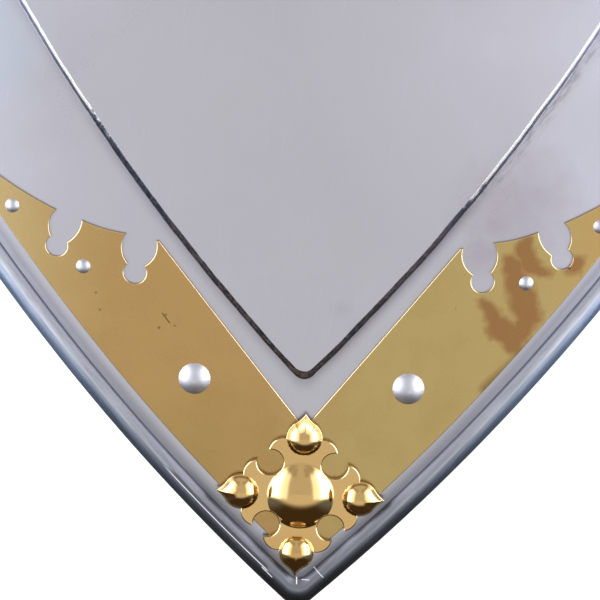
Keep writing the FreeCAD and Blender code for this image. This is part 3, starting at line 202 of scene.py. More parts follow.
class Value:
    """A node's output; each sign of arithmetic on it makes a math node."""

    def __init__(self, graph, socket):
        self.graph, self.socket = graph, socket

    def __add__(self, other):
        return self.graph.math("ADD", self, other)

    def __sub__(self, other):
        return self.graph.math("SUBTRACT", self, other)

    def __rsub__(self, other):
        return self.graph.math("SUBTRACT", other, self)

    def __mul__(self, other):
        return self.graph.math("MULTIPLY", self, other)

    def __abs__(self):
        return self.graph.math("ABSOLUTE", self)


class Graph:
    """A material and its node tree, with one Principled BSDF already linked to the output."""

    def __init__(self, name):
        self.material = bpy.data.materials.new(name)
        self.material.use_nodes = True
        self.tree = self.material.node_tree
        self.shader = self.tree.nodes["Principled BSDF"]
        self.spot = self.node("ShaderNodeTexCoord", out="Object")

    def made(self, kind, inputs=None, **settings):
        made = self.tree.nodes.new(kind)
        for key, value in settings.items():
            setattr(made, key, value)
        for key, value in (inputs or {}).items():
            self.feed(made.inputs[key], value)
        return made

    def node(self, kind, inputs=None, out=0, **settings):
        return Value(self, self.made(kind, inputs, **settings).outputs[out])

    def feed(self, socket, value):
        if isinstance(value, Value):
            self.tree.links.new(value.socket, socket)
        elif isinstance(value, (tuple, list)) and len(value) == 3 and socket.type == "RGBA":
            socket.default_value = (*value, 1)
        else:
            socket.default_value = value

    def set(self, **inputs):
        for key, value in inputs.items():
            self.feed(self.shader.inputs[key.replace("_", " ")], value)

    def vector(self, operation, a, b=(0, 0, 0), out=0):
        key = "Scale" if operation == "SCALE" else 1
        return self.node("ShaderNodeVectorMath", {0: a, key: b}, out, operation=operation)

    def math(self, operation, a, b=0.0, clamp=False):
        return self.node("ShaderNodeMath", {0: a, 1: b}, operation=operation, use_clamp=clamp)

    def axis(self, number):
        return self.node("ShaderNodeSeparateXYZ", {0: self.spot}, number)

    def stretched(self, scale, turn=0.0, spot=None):
        """Coordinates turned about the depth and then stretched, for drawn and brushed grain."""
        inputs = {"Vector": spot or self.spot, "Rotation": (0, turn, 0)}
        inputs["Scale"] = [1 / s for s in scale]
        return self.node("ShaderNodeMapping", inputs, vector_type="TEXTURE")

    def noise(self, scale, detail=4, rough=0.5, vector=None, distortion=0.0, out="Fac"):
        inputs = {"Vector": vector or self.spot, "Scale": scale, "Detail": detail}
        inputs |= {"Roughness": rough, "Distortion": distortion}
        return self.node("ShaderNodeTexNoise", inputs, out)

    def cells(self, scale, feature="F1", vector=None):
        inputs = {"Vector": vector or self.spot, "Scale": scale}
        return self.node("ShaderNodeTexVoronoi", inputs, "Distance", feature=feature)

    def span(self, value, low, high, to_low=0.0, to_high=1.0):
        inputs = {"Value": value, 1: low, 2: high, 3: to_low, 4: to_high}
        return self.node("ShaderNodeMapRange", inputs)

    def mix(self, share, a, b):
        inputs = {"Factor": share, 6: a, 7: b}
        return self.node("ShaderNodeMix", inputs, 2, data_type="RGBA", blend_type="MIX")

    def washed(self, tone, *layers):
        """The tone under layers of colour, each with its mask."""
        for mask, colour in layers:
            tone = self.mix(mask, tone, colour)
        return tone

    def bump(self, height, distance, strength=1.0, normal=None):
        inputs = {"Height": height, "Distance": distance, "Strength": strength}
        if normal is not None:
            inputs["Normal"] = normal
        return self.node("ShaderNodeBump", inputs)

    # reads a point attribute: masks for painted light and shade, and the rim's place and angle
    # round it
    def wear_and_light(self, name):
        return self.node("ShaderNodeAttribute", out="Fac", attribute_name=name)

    def flat_spot(self):
        """Place on the front, with the depth left out, in metres."""
        return self.vector("MULTIPLY", self.spot, (1.0, 0.0, 1.0))

    def drifted(self, size, drift):
        """The place on the front, moved by a noise of up to drift millimetres: gives wavy rims."""
        off = self.vector("SUBTRACT", self.noise(size, out="Color"), (0.5,) * 3)
        inputs = {0: off, 1: (drift * MM, 0, drift * MM), 2: self.flat_spot()}
        return self.node("ShaderNodeVectorMath", inputs, operation="MULTIPLY_ADD")

    def stroke(self, first, last, width, soft=0.12, spot=None):
        """A line between two places on the front, given in millimetres, as a mask."""
        a, b = (Vector((x * MM, 0, z * MM)) for x, z in (first, last))
        run = b - a
        off = self.vector("SUBTRACT", spot or self.flat_spot(), a)
        share = self.vector("DOT_PRODUCT", off, run / run.length_squared, "Value")
        foot = self.vector("SCALE", run, self.math("ADD", share, 0.0, True))
        away, half = self.vector("DISTANCE", off, foot, "Value"), width * MM / 2
        return self.span(away, half, half + soft * MM, 1.0, 0.0)

    def blot(self, place, radius, soft, wander):
        """A round patch on the front as a mask, its rim moved by a noise."""
        away = self.vector("DISTANCE", self.flat_spot(), (place[0] * MM, 0, place[1] * MM), "Value")
        rim = away + self.span(wander, 0, 1, -radius * MM, radius * MM)
        return self.span(rim, (radius - soft) * MM, (radius + soft) * MM, 1.0, 0.0)

    def most(self, *masks):
        total = masks[0]
        for mask in masks[1:]:
            total = self.math("MAXIMUM", total, mask)
        return total

    def strokes(self, table, *rest):
        return self.most(*(self.stroke(*line, *rest) for line in table))

    def blots(self, table, wander):
        return self.most(*(self.blot(*patch, wander) for patch in table))


# Marks on the front, as the photograph shows them: places and sizes in millimetres
SCRATCHES = (
    ((-10.7, -548.9), (-7.65, -551.9), 0.16),
    ((4.71, -548.8), (7.45, -551.5), 0.12),
    ((1.26, -552.6), (3.34, -552.5), 0.1),
    ((-0.36, -552.0), (-0.30, -553.8), 0.16),
)
DIRT = (((10.5, -469.5), 2.6, 2.0), ((15.0, -474.5), 2.2, 1.8))
FLECKS = (((-50.9, -503.5), 0.5, 0.35), ((-34.6, -518.6), 0.45, 0.3))
PURPLE = (((57, -444), 6, 5), ((52, -452), 5, 4), ((61, -438), 12, 11))
# painted reflections of dark surroundings: streaks on the bottom mount's right arm, ends and width
BRASS_PAINTED_REFLECTIONS = (
    ((64, -450.5), (66.5, -456), 4.5),
    ((60.5, -455), (62.5, -467), 4),
    ((66, -456), (69, -457.5), 3),
    ((63.5, -465), (66, -471.5), 4.5),
    ((53, -468), (57, -474), 3),
    ((57, -474), (61.5, -479), 4.5),
    ((61.5, -478.5), (65, -471.5), 4),
    ((77, -456), (80, -456.5), 3),
)
NICKS = (
    ((-61.7, -467.1), 0.28, 0.2),
    ((-60.4, -472.2), 0.28, 0.2),
    ((-41.0, -472.8), 0.28, 0.2),
    ((-42.9, -476.8), 0.28, 0.2),
    ((-38.3, -476.0), 0.28, 0.2),
)

# Painted light and shade round the rolled rim, set by the way it faces, from the valley beside the
# border: a dark valley, a painted highlight band, then bluish steel; share of the way and colour
RIM_PAINTED_LIGHT = (
    (0.0, (0.09, 0.09, 0.095)),
    (0.08, (0.17, 0.17, 0.18)),
    (0.15, (0.40, 0.41, 0.44)),
    (0.23, (0.54, 0.56, 0.61)),
    (0.28, (0.30, 0.33, 0.39)),
    (0.45, (0.30, 0.35, 0.43)),
    (0.75, (0.46, 0.50, 0.56)),
)


def rim_tone(g, level):
    """Colour of the rolled rim: painted light and shade in bands round it, streaks along it, and
    painted shade darker towards the point.
    """
    ramp = g.made("ShaderNodeValToRGB", {0: g.span(g.wear_and_light("turn"), -0.5, 1.5)})
    stops = ramp.color_ramp.elements
    while len(stops) < len(RIM_PAINTED_LIGHT):
        stops.new(0.5)
    for stop, (share, colour) in zip(stops, RIM_PAINTED_LIGHT):
        stop.position = share
        stop.color = (*colour, 1)
    mirrored = g.vector("ABSOLUTE", g.spot)
    drawn = g.noise(1.0, 3, 0.6, g.stretched((900, 900, 45), -0.68, mirrored))
    # painted shade: darker towards the point, lighter higher up
    darker = g.span(level, -0.55, -0.47, 0.36, 1.0) * g.span(level, -0.47, -0.41, 1.0, 1.4)
    streak = g.span(drawn, 0.3, 0.7, 0.8, 1.15) * darker
    return g.vector("SCALE", Value(g, ramp.outputs[0]), streak)


def step_layers(g, across, level):
    """Painted light of the pressed step: a painted highlight on its crest high up, painted shade on
    it below a slanting limit, painted shadow beside its foot.
    """
    limit = level + across * 0.176 + g.span(g.noise(300, 3, 0.7), 0.3, 0.7, -0.006, 0.006)
    low = g.span(limit, -0.4285, -0.4215, 1.0, 0.0)
    above_limit = 1.0 - low
    foot = g.wear_and_light("foot")
    # painted shade on the step's wall, deeper below the slanting limit
    step_shade = g.wear_and_light("step") * g.span(g.noise(520, 3, 0.7, distortion=1.0), 0.3, 0.6, 0.6, 1.0)
    step_shade = step_shade * g.span(across, 0.02, 0.045, 1.0, 0.8) * g.span(low, 0, 1, 0.7, 1)
    # painted highlight on the crest above the limit
    crest_highlight = g.span(g.wear_and_light("crest"), 0.5, 0.8) * above_limit
    # painted shadow on the border beside the step's foot, with rubbed streaks higher up
    foot_shadow_and_rub = foot * foot * (low * g.span(across, 0, 0.01, 0.2, 0.5) + 0.25)
    rub = g.span(g.noise(1.0, 3, 0.7, g.stretched((1500, 1500, 160), 0.63)), 0.45, 0.6)
    foot_shadow_and_rub = g.most(foot_shadow_and_rub, rub * (foot * above_limit) * g.span(across, 0, 0.01, 0, 0.7))
    return crest_highlight, (
        (foot_shadow_and_rub, (0.12, 0.11, 0.125)),
        (step_shade, (0.05, 0.05, 0.065)),
        (crest_highlight, (1.0, 0.97, 0.92)),
    )


def plate_steel():
    """Satin sheet: clouds, drawn lines, painted highlight and shade on the step, painted light and
    shade in bands round the rim, painted reflections and single marks.
    """
    g = Graph("plate_steel")
    colour = (0.41, 0.40, 0.43)
    across, level = g.axis(0), g.axis(2)
    broad = g.noise(7, 3, 0.55)
    cloud = g.noise(38, 5, 0.62, distortion=0.6)
    brushed = g.noise(1.0, 3, 0.6, g.stretched((2600, 2600, 90), 0.12))
    crossed = g.noise(1.0, 3, 0.6, g.stretched((90, 2600, 2400), 0.2))
    lines = g.span(brushed, 0.58, 0.72) * g.span(cloud, 0.35, 0.65)
    wander = g.noise(160, 3, 0.6)
    valley = g.wear_and_light("valley")
    bead = g.wear_and_light("roll") * (1.0 - valley * 0.9)
    crest_highlight, step = step_layers(g, across, level)
    turn = g.wear_and_light("turn")
    # a crease on the rim near the point: painted highlight along it, painted shade beside it
    left = g.span(across, -0.0085, -0.0095) * g.span(level, -0.5185, -0.5215)
    beside = g.span(abs(turn + 0.05), 0.05, 0.1, 1, 0) * left
    seam = g.span(abs(turn - 0.05), 0.012, 0.03, 1, 0) * left
    # real scratches, and the painted highlight along the crease
    scratches_and_seam_glint = g.most(g.strokes(SCRATCHES), seam * bead)
    tone = g.washed(
        g.mix(g.span(broad, 0.35, 0.68), dimmed(colour, 0.95), dimmed(colour, 1.04)),
        (g.span(cloud, 0.42, 0.72, 0, 0.3), (0.36, 0.344, 0.368)),
        # painted reflections: a pale patch on the right, a bluish one on the left
        (g.blot((72, -380), 40, 36, broad) * 0.7, (0.47, 0.455, 0.495)),
        (g.blot((-94, -395), 11, 9, broad) * 0.5, (0.36, 0.42, 0.46)),
        (lines * 0.12, (0.62, 0.63, 0.68)),
        (g.blots(DIRT, wander) * 0.22, (0.27, 0.26, 0.29)),
        (g.blots(FLECKS, wander) * 0.7, (0.55, 0.28, 0.10)),
        *step,
        # painted shade: dark line in the valley beside the rim
        (valley * 0.92, (0.03, 0.03, 0.035)),
        (g.blots(PURPLE, wander) * 0.4, (0.28, 0.235, 0.27)),
        (bead, rim_tone(g, level)),
        # painted shade beside the crease
        (beside * (bead * 0.75), (0.05, 0.05, 0.06)),
        (scratches_and_seam_glint * 0.85, (0.95, 0.96, 1.0)),
    )
    height = g.noise(1700, 2, 0.6) * 0.5 + crossed * 0.25 + brushed * 0.25
    normal = g.bump(height, 0.00002, 0.35)
    normal = g.bump(g.noise(22, 2, 0.5), 0.0004, 0.25, normal)
    rough = g.span(cloud, 0.3, 0.75, 0.27, 0.36) + g.wear_and_light("roll") * 0.04
    g.set(
        Base_Color=tone,
        Metallic=g.span(g.most(crest_highlight, scratches_and_seam_glint), 0, 1, 1.0, 0.15),
        Roughness=rough + valley * 0.25 + lines * 0.05,
        Normal=g.bump(scratches_and_seam_glint, 0.00006, 0.5, normal),
    )
    return g.material


def brass(name, colour, brown, rough, wear):
    """Polished brass with a painted highlight on its rounded edges and painted shade towards the
    bottom; the mounts, which show more wear, also carry their own tarnished patches and marks, and
    painted dark reflections.
    """
    g = Graph(name)
    broad = g.noise(14, 4, 0.6, distortion=0.4)
    cloud = g.noise(75, 4, 0.6, distortion=0.3)
    pits = g.span(g.noise(650, 1), 0.80, 0.84)
    tarnish_and_painted_reflections = [(g.span(cloud, 0.45, 0.8, 0, 0.16 * wear), dimmed(brown, 1.6))]
    if wear > 0.5:
        wander = g.noise(230, 4, 0.65)
        across = g.axis(0) + g.span(broad, 0, 1, -0.02, 0.02)
        tarnish_and_painted_reflections = [
            (g.span(across, -0.012, 0.02), (0.392, 0.288, 0.112)),
            (g.span(across, -0.062, -0.086), (0.45, 0.335, 0.15)),
            (g.span(across, 0.07, 0.09, 0, 0.8), (0.41, 0.26, 0.09)),
            (g.blot((-30, -513), 14, 12, g.noise(40, 2)) * 0.8, (0.335, 0.225, 0.078)),
            *tarnish_and_painted_reflections,
            # painted reflections: dark brown streaks on the right arm and a dark strip along its
            # lower edge
            (g.strokes(BRASS_PAINTED_REFLECTIONS, 2.4, g.drifted(110, 10)) * 0.85, (0.245, 0.115, 0.043)),
            (g.stroke((53.5, -493), (70, -477), 0.8, 2.2) * 0.75, (0.17, 0.095, 0.03)),
        ]
        cut = g.stroke((-42.0, -472.4), (-39.8, -475.2), 0.22)
        pits = g.most(pits, g.blots(NICKS, wander), cut)
    tone = g.washed(
        g.mix(g.span(broad, 0.3, 0.7), colour, dimmed(colour, 0.93)),
        *tarnish_and_painted_reflections,
        # painted shade: darker towards the bottom
        (g.span(g.axis(2), -0.536, -0.556) * 0.45, dimmed(brown, 1.6)),
        # painted highlight on the rounded edges
        (g.wear_and_light("edge") * 0.35, (0.72, 0.61, 0.42)),
        (pits * (0.8 * wear), dimmed(brown, 0.5)),
    )
    brushed = g.noise(1.0, 3, 0.6, g.stretched((2200, 2200, 70), 0.7))
    height = g.noise(420, 3, 0.6) * 0.4 - pits * 1.5 + brushed * 0.3
    g.set(
        Base_Color=tone,
        Metallic=1.0,
        Roughness=g.span(cloud, 0.3, 0.75, rough, rough + 0.10 * wear),
        Normal=g.bump(height, 0.00003, 0.5 * wear),
    )
    return g.material


def steel(name, colour, rough, wear=0.5):
    """Plain worked steel: drawn grain, clouds and small dark marks."""
    g = Graph(name)
    cloud = g.noise(90, 5, 0.6, distortion=0.5)
    marks = g.span(g.noise(300, 4, 0.7), 0.64, 0.72)
    g.set(
        Base_Color=g.washed(
            g.mix(g.span(cloud, 0.35, 0.7), colour, dimmed(colour, 0.86)),
            (marks * (0.6 * wear), dimmed(colour, 0.35)),
        ),
        Metallic=1.0,
        Roughness=g.span(cloud, 0.3, 0.75, rough, rough + 0.12 * wear),
        Normal=g.bump(g.noise(900, 3, 0.6) - marks * 0.6, 0.00003, 0.4 * wear),
    )
    return g.material


def leather(name, colour, wear_and_light, pebble, rough, bump):
    """Grained hide: pebbles between fine creases, pulled lighter in places, with a waxy sheen."""
    g = Graph(name)
    off = g.vector("MULTIPLY", g.noise(140, 2, out="Color"), (0.0016,) * 3)
    wavy = g.vector("ADD", g.spot, off)
    creases = g.span(g.cells(pebble, "DISTANCE_TO_EDGE", wavy), 0.0, 0.16)
    pores = g.span(g.cells(pebble * 2.6), 0.05, 0.2)
    broad = g.noise(26, 4, 0.6, distortion=0.5)
    drawn = g.span(g.noise(1.0, 4, 0.65, g.stretched((60, 60, 420))), 0.62, 0.72)
    tone = g.washed(
        g.mix(g.span(broad, 0.35, 0.7), colour, wear_and_light),
        (g.span(creases, 0, 1, 0.55, 0.0), dimmed(colour, 0.35)),
        (g.span(g.noise(60, 3, 0.5), 0.5, 0.75, 0, 0.35), dimmed(wear_and_light, 1.25)),
        (drawn * 0.25, dimmed(colour, 0.5)),
    )
    g.set(
        Base_Color=tone,
        Roughness=g.span(broad, 0.3, 0.7, rough, rough + 0.14),
        Normal=g.bump(creases + pores * 0.3 - drawn * 0.7, 0.00016, bump),
        Specular_IOR_Level=0.42,
        Coat_Weight=0.12,
        Coat_Roughness=0.35,
    )
    return g.material


def waxed_thread():
    g = Graph("waxed_thread")
    twist = g.noise(1600, 2, 0.5)
    tone = g.mix(g.span(twist, 0.35, 0.65), (0.44, 0.34, 0.21), (0.66, 0.55, 0.38))
    g.set(
        Base_Color=g.mix(g.span(g.noise(90, 3, 0.6), 0.4, 0.7, 0, 0.5), tone, (0.26, 0.18, 0.10)),
        Roughness=g.span(twist, 0.3, 0.7, 0.55, 0.75),
        Normal=g.bump(twist, 0.00012, 0.6),
    )
    return g.material


PLATE_STEEL = plate_steel()
MOUNT_BRASS = brass("mount_brass", (0.39, 0.247, 0.094), (0.13, 0.06, 0.018), 0.22, 1.0)
BOSS_BRASS = brass("boss_brass", (0.54, 0.355, 0.14), (0.20, 0.09, 0.025), 0.10, 0.25)
RIVET_STEEL = steel("rivet_steel", (0.42, 0.415, 0.42), 0.47)
WIRE_STEEL = steel("wire_steel", (0.42, 0.42, 0.47), 0.25)
HARDWARE_STEEL = steel("hardware_steel", (0.42, 0.42, 0.45), 0.28, 0.8)
BUCKLE_STEEL = steel("buckle_steel", (0.52, 0.52, 0.55), 0.18)
STRAP = leather("strap_leather", (0.075, 0.034, 0.016), (0.13, 0.062, 0.03), 620, 0.36, 0.45)
STRAP_EDGE = leather("burnished_edge", (0.035, 0.016, 0.009), (0.06, 0.028, 0.014), 900, 0.26, 0.15)
PAD_LEATHER = leather("pad_leather", (0.12, 0.058, 0.028), (0.19, 0.095, 0.048), 480, 0.42, 0.7)
PIPING = leather("pad_piping", (0.06, 0.028, 0.015), (0.09, 0.045, 0.022), 700, 0.34, 0.4)
THREAD = waxed_thread()


def finish_of(name):
    """What a CAD node that is shown as it is gets: told by its name."""
    if name == "rim_wire":
        return WIRE_STEEL
    if name.endswith("rivets"):
        return RIVET_STEEL
    if name.startswith(("buckle", "guige_ring")):
        return BUCKLE_STEEL
    return HARDWARE_STEEL


for name, node in NODES.items():
    node.data.materials.clear()
    node.data.materials.append(finish_of(name))


# Shield plate: outline, rolled rim, border and raised field

TIP_STEPS, SIDE_STEPS, STRAIGHT_STEPS, CORNER_STEPS, TOP_STEPS = 14, 200, 24, 10, 48
STEP_FOOT = 50.3
INNER_CORNER = 3.0
RIM_END = 375


def outline_at(spot, inset):
    """Place on the outline moved inwards, and the direction out of it."""
    kind, t, side = spot
    corner = INNER_CORNER + 0.5 * limited((inset - 40) / 10)
    if inset < 2 * ROLL:
        corner = INNER_CORNER + (2 * ROLL - inset) * 0.38
    half, top, radius = HALF_WIDTH - inset, TOP - inset, SIDE_RADIUS - inset
    drop = math.sqrt((radius - corner) ** 2 - SIDE_CENTRE**2)
    meet = math.atan2(drop, -SIDE_CENTRE)
    if kind == "straight":
        return (side * half, SHOULDER + t * (top - corner - SHOULDER)), (side, 0.0)
    if kind == "top":
        return ((half - corner) * (1 - 2 * t), top), (0.0, 1.0)
    angle, centre, reach = {
        "tip": (-math.pi / 2 + t * (math.pi / 2 - meet), (0.0, SHOULDER - drop), corner),
        "side": (-meet * (1 - t), (SIDE_CENTRE, SHOULDER), radius),
        "corner": (t * math.pi / 2, (half - corner, top - corner), corner),
    }[kind]
    x, z = around(reach, angle, centre)
    return (side * x, z), (side * math.cos(angle), math.sin(angle))


def arc_run(centre, radius, begin, end, steps, sign=1):
    """Points of a round in a profile with their normals, angles in degrees."""
    angles = [math.radians(begin + (end - begin) * k / steps) for k in range(steps + 1)]
    return [around(radius, a, centre) + around(sign, a) for a in angles]


def step_run(inset, low, rise, wall, foot, crest):
    """Profile of a pressed step, from the field down to the border: rounds at crest and foot."""
    turn = math.radians(wall)
    upper = inset + rise / math.tan(turn) + crest * math.tan(turn / 2)
    lower = inset - foot * math.tan(turn / 2)
    points = arc_run((upper, low + rise - crest), crest, 90, 90 + wall, 7)
    return points + arc_run((lower, low + foot), foot, wall - 90, -90, 5, -1)


def plate_profile():
    """Section of the sheet from the field's front over the rim to the field's back."""
    front = [(54.8, FIELD_RISE, 0, 1)] + step_run(FIELD_INSET, 0.0, FIELD_RISE, 43, 0.6, 0.9)
    front += [(d, 0.0, 0, 1) for d in (50.2, 48.6, 47, 45, 40, 35, 30, 25, 20, 15, 11, 9)]
    valley = 1.0
    above = ROLL_DEPTH + valley
    away = math.sqrt((ROLL + valley) ** 2 - above**2)
    lean = math.degrees(math.atan2(above, away))
    mouth = math.degrees(math.asin((ROLL_DEPTH - SHEET) / ROLL_BORE))
    rim = arc_run((away, above), valley, 270, 180 + lean, 6, -1)
    rim += arc_run((0, 0), ROLL, lean, RIM_END, 44)[1:]
    end = math.radians(RIM_END)
    rim.append(around((ROLL + ROLL_BORE) / 2, end, (0, 0.06)) + around(1, end + math.pi / 2))
    rim += arc_run((0, 0), ROLL_BORE, RIM_END, mouth, 30, -1)
    rim.append((3.2, ROLL_DEPTH - SHEET, 0, -1))
    back = [(d, -SHEET, 0, -1) for d in (9, 12, 16, 20, 25, 30, 35, 40, 45, 50.6)]
    hollow = step_run(FIELD_INSET + 0.75, -SHEET, FIELD_RISE, 52, 0.9, 0.5)
    back += [(d, h, -nd, -nh) for d, h, nd, nh in reversed(hollow)]
    back.append((54.5, FIELD_RISE - SHEET, 0, -1))
    runs = (("flat", front), ("rim", rim), ("flat", back))
    return [(kind, *part) for kind, run in runs for part in run]


def section_at(x, rise, away):
    """Directions at the sheet's edge: along the outline and its slope, inwards and out."""
    sheet, out = facing(x, rise)
    along = (-away[1], away[0])
    slope = sheet.y / sheet.x * along[0]
    inward = out.cross(Vector((along[0], slope, along[1])).normalized())
    if inward.x * away[0] + inward.z * away[1] > 0:
        inward.negate()
    return along, slope, inward, out


def skin_point(part, spot):
    """Place and normal of one point of the profile at one spot of the outline."""
    kind, a, b, na, nb = part
    (cx, cz), away = outline_at(spot, ROLL if kind == "rim" else a)
    if kind == "rim":
        along, slope, inward, out = section_at(cx, -ROLL_DEPTH, away)
        shift = inward * a + out * b
        x, z = outline_at(spot, ROLL - shift.x * away[0] - shift.z * away[1])[0]
        travel = shift.x * along[0] + shift.z * along[1]
        y = surface(cx, -ROLL_DEPTH) + shift.y - slope * travel
    else:
        inset = a
        if a > STEP_FOOT:
            inset += 0.22 * noise.noise(Vector((cx * 0.07, cz * 0.07, 3.1)))
            inset += 0.12 * noise.noise(Vector((cx * 0.4, cz * 0.4, 8.7)))
        x, z = outline_at(spot, inset)[0]
        y = surface(x, b)
        inward, out = section_at(x, b, away)[2:]
    return (x, y, z + POINT_Z), inward * na + out * nb


def profile_masks(profile):
    """Where painted light and shade go, and the rim's place and the angle round it, as a value for
    each point of the profile.
    """
    wear_and_light = {"step": [], "crest": [], "foot": [], "valley": [], "roll": [], "turn": []}
    first = next(k for k, part in enumerate(profile) if part[0] == "rim")
    groove = dict(enumerate((0.4, 0.7, 0.9, 1, 1, 1, 0.9, 0.8, 0.5, 0.25, 0.1), first - 1))
    for k, (kind, a, b, na, nb) in enumerate(profile):
        front = kind == "flat" and nb > 0
        top = FIELD_RISE - 0.02
        turn = (math.degrees(math.atan2(nb, na)) - 90) % 360 if kind == "rim" else 0.0
        wear_and_light["step"].append(float(front and 0.02 < b < top))
        wear_and_light["crest"].append(float(front and FIELD_RISE * 0.62 < b < top))
        wear_and_light["foot"].append(limited(1 - (FIELD_INSET - a) / 4) if front and b < 0.7 else 0.0)
        wear_and_light["valley"].append(float(groove.get(k, 0)))
        wear_and_light["roll"].append(float(kind == "rim"))
        wear_and_light["turn"].append((turn - 360 if turn > 300 else turn) / 90)
    return wear_and_light


def plate_skin():
    right = [("tip", j / TIP_STEPS, 1) for j in range(TIP_STEPS)]
    right += [("side", j / SIDE_STEPS, 1) for j in range(SIDE_STEPS)]
    right += [("straight", j / STRAIGHT_STEPS, 1) for j in range(STRAIGHT_STEPS)]
    right += [("corner", j / CORNER_STEPS, 1) for j in range(CORNER_STEPS + 1)]
    top = [("top", j / TOP_STEPS, 1) for j in range(1, TOP_STEPS)]
    spots = right + top + [(kind, t, -1) for kind, t, side in reversed(right[1:])]
    profile = plate_profile()
    count, runs = len(spots), len(profile)
    placed = [skin_point(part, spot) for part in profile for spot in spots]
    points, normals = [p for p, normal in placed], [normal for p, normal in placed]
    faces = lattice(runs, count)
    last = len(right) - 1
    for start, rise, sign in ((0, FIELD_RISE, 1), ((runs - 1) * count, FIELD_RISE - SHEET, -1)):
        rows = [[start] * (TOP_STEPS + 1)]
        for r in range(1, last):
            ends = start + count - r, start + r
            row = []
            for k in range(1, TOP_STEPS):
                x, _, z = Vector(points[ends[0]]).lerp(Vector(points[ends[1]]), k / TOP_STEPS)
                row.append(len(points))
                points.append((x, surface(x, rise), z))
                normals.append(facing(x, rise)[1] * sign)
            rows.append([ends[0], *row, ends[1]])
        rows.append([start + last + TOP_STEPS - k for k in range(TOP_STEPS + 1)])
        for low, high in zip(rows, rows[1:]):
            for k in range(TOP_STEPS):
                corners = [low[k], low[k + 1], high[k + 1], high[k]][low[k] == low[k + 1]:]
                faces.append(tuple(corners[::sign]))
    corner_normals = [normals[v] for face in faces for v in face]
    made = made_object("shield_skin", points, faces, corner_normals, [PLATE_STEEL])
    for name, values in profile_masks(profile).items():
        spread = [v for v in values for _ in range(count)]
        spread += [0.0] * (len(points) - len(spread))
        made.data.attributes.new(name, "FLOAT", "POINT").data.foreach_set("value", spread)
    return joins(made, "plate_steel", "shield_plate")


# Raised plates: brass mounts and bosses, from an outline and a height over it


def circle_of(first, middle, last):
    """Centre of the circle through three places."""
    turn = 2 * cross(first, middle, last)
    a, b, c = (x * x + y * y for x, y in (first, middle, last))
    (ax, ay), (bx, by), (cx, cy) = first, middle, last
    ux = (a * (by - cy) + b * (cy - ay) + c * (ay - by)) / turn
    uy = (a * (cx - bx) + b * (ax - cx) + c * (bx - ax)) / turn
    return ux, uy


def arc_through(first, middle, last, pitch):
    """Points along the arc from first to last through the middle one, without the first."""
    turn = cross(first, middle, last)
    if abs(turn) < 1e-3 * math.dist(first, last):
        return straight(first, last, pitch)
    ux, uy = circle_of(first, middle, last)
    radius = math.dist(first, (ux, uy))
    begin, end = (math.atan2(y - uy, x - ux) for x, y in (first, last))
    if turn > 0 and end < begin:
        end += 2 * math.pi
    if turn < 0 and end > begin:
        end -= 2 * math.pi
    sweep = end - begin
    steps = max(3, round(abs(sweep) * radius / pitch), round(abs(sweep) / 0.2))
    return [around(radius, begin + sweep * k / steps, (ux, uy)) for k in range(1, steps + 1)]


def inside(points, polygon):
    """Which of the points lie inside a closed polygon."""
    px, py = points[:, 0], points[:, 1]
    held = np.zeros(len(points), bool)
    for (ax, ay), (bx, by) in loop_pairs(polygon):
        if ay != by:
            held ^= ((ay > py) != (by > py)) & (px < (bx - ax) * (py - ay) / (by - ay) + ax)
    return held


def inner_grid(rim, pitch):
    """Places in rows of triangles inside an outline and clear of it."""
    ring = np.array(rim)
    (low_x, low_y), (high_x, high_y) = ring.min(axis=0), ring.max(axis=0)
    grid = np.array([
        (x + (pitch / 2 if row % 2 else 0), y)
        for row, y in enumerate(np.arange(low_y, high_y, pitch * 0.87))
        for x in np.arange(low_x, high_x, pitch)
    ])
    grid = grid[inside(grid, rim)]
    gap = np.array([np.min(((ring - place) ** 2).sum(axis=1)) for place in grid])
    return grid[gap > min(pitch * 0.5, 1.2) ** 2]


def slope_of(rise):
    """The normal of a height over a plane, as a function of the place."""
    step = 0.01

    def tilt(x, y):
        dx = (rise(x + step, y) - rise(x - step, y)) / (2 * step)
        dy = (rise(x, y + step) - rise(x, y - step)) / (2 * step)
        return Vector((-dx, -dy, 1)).normalized()

    return tilt


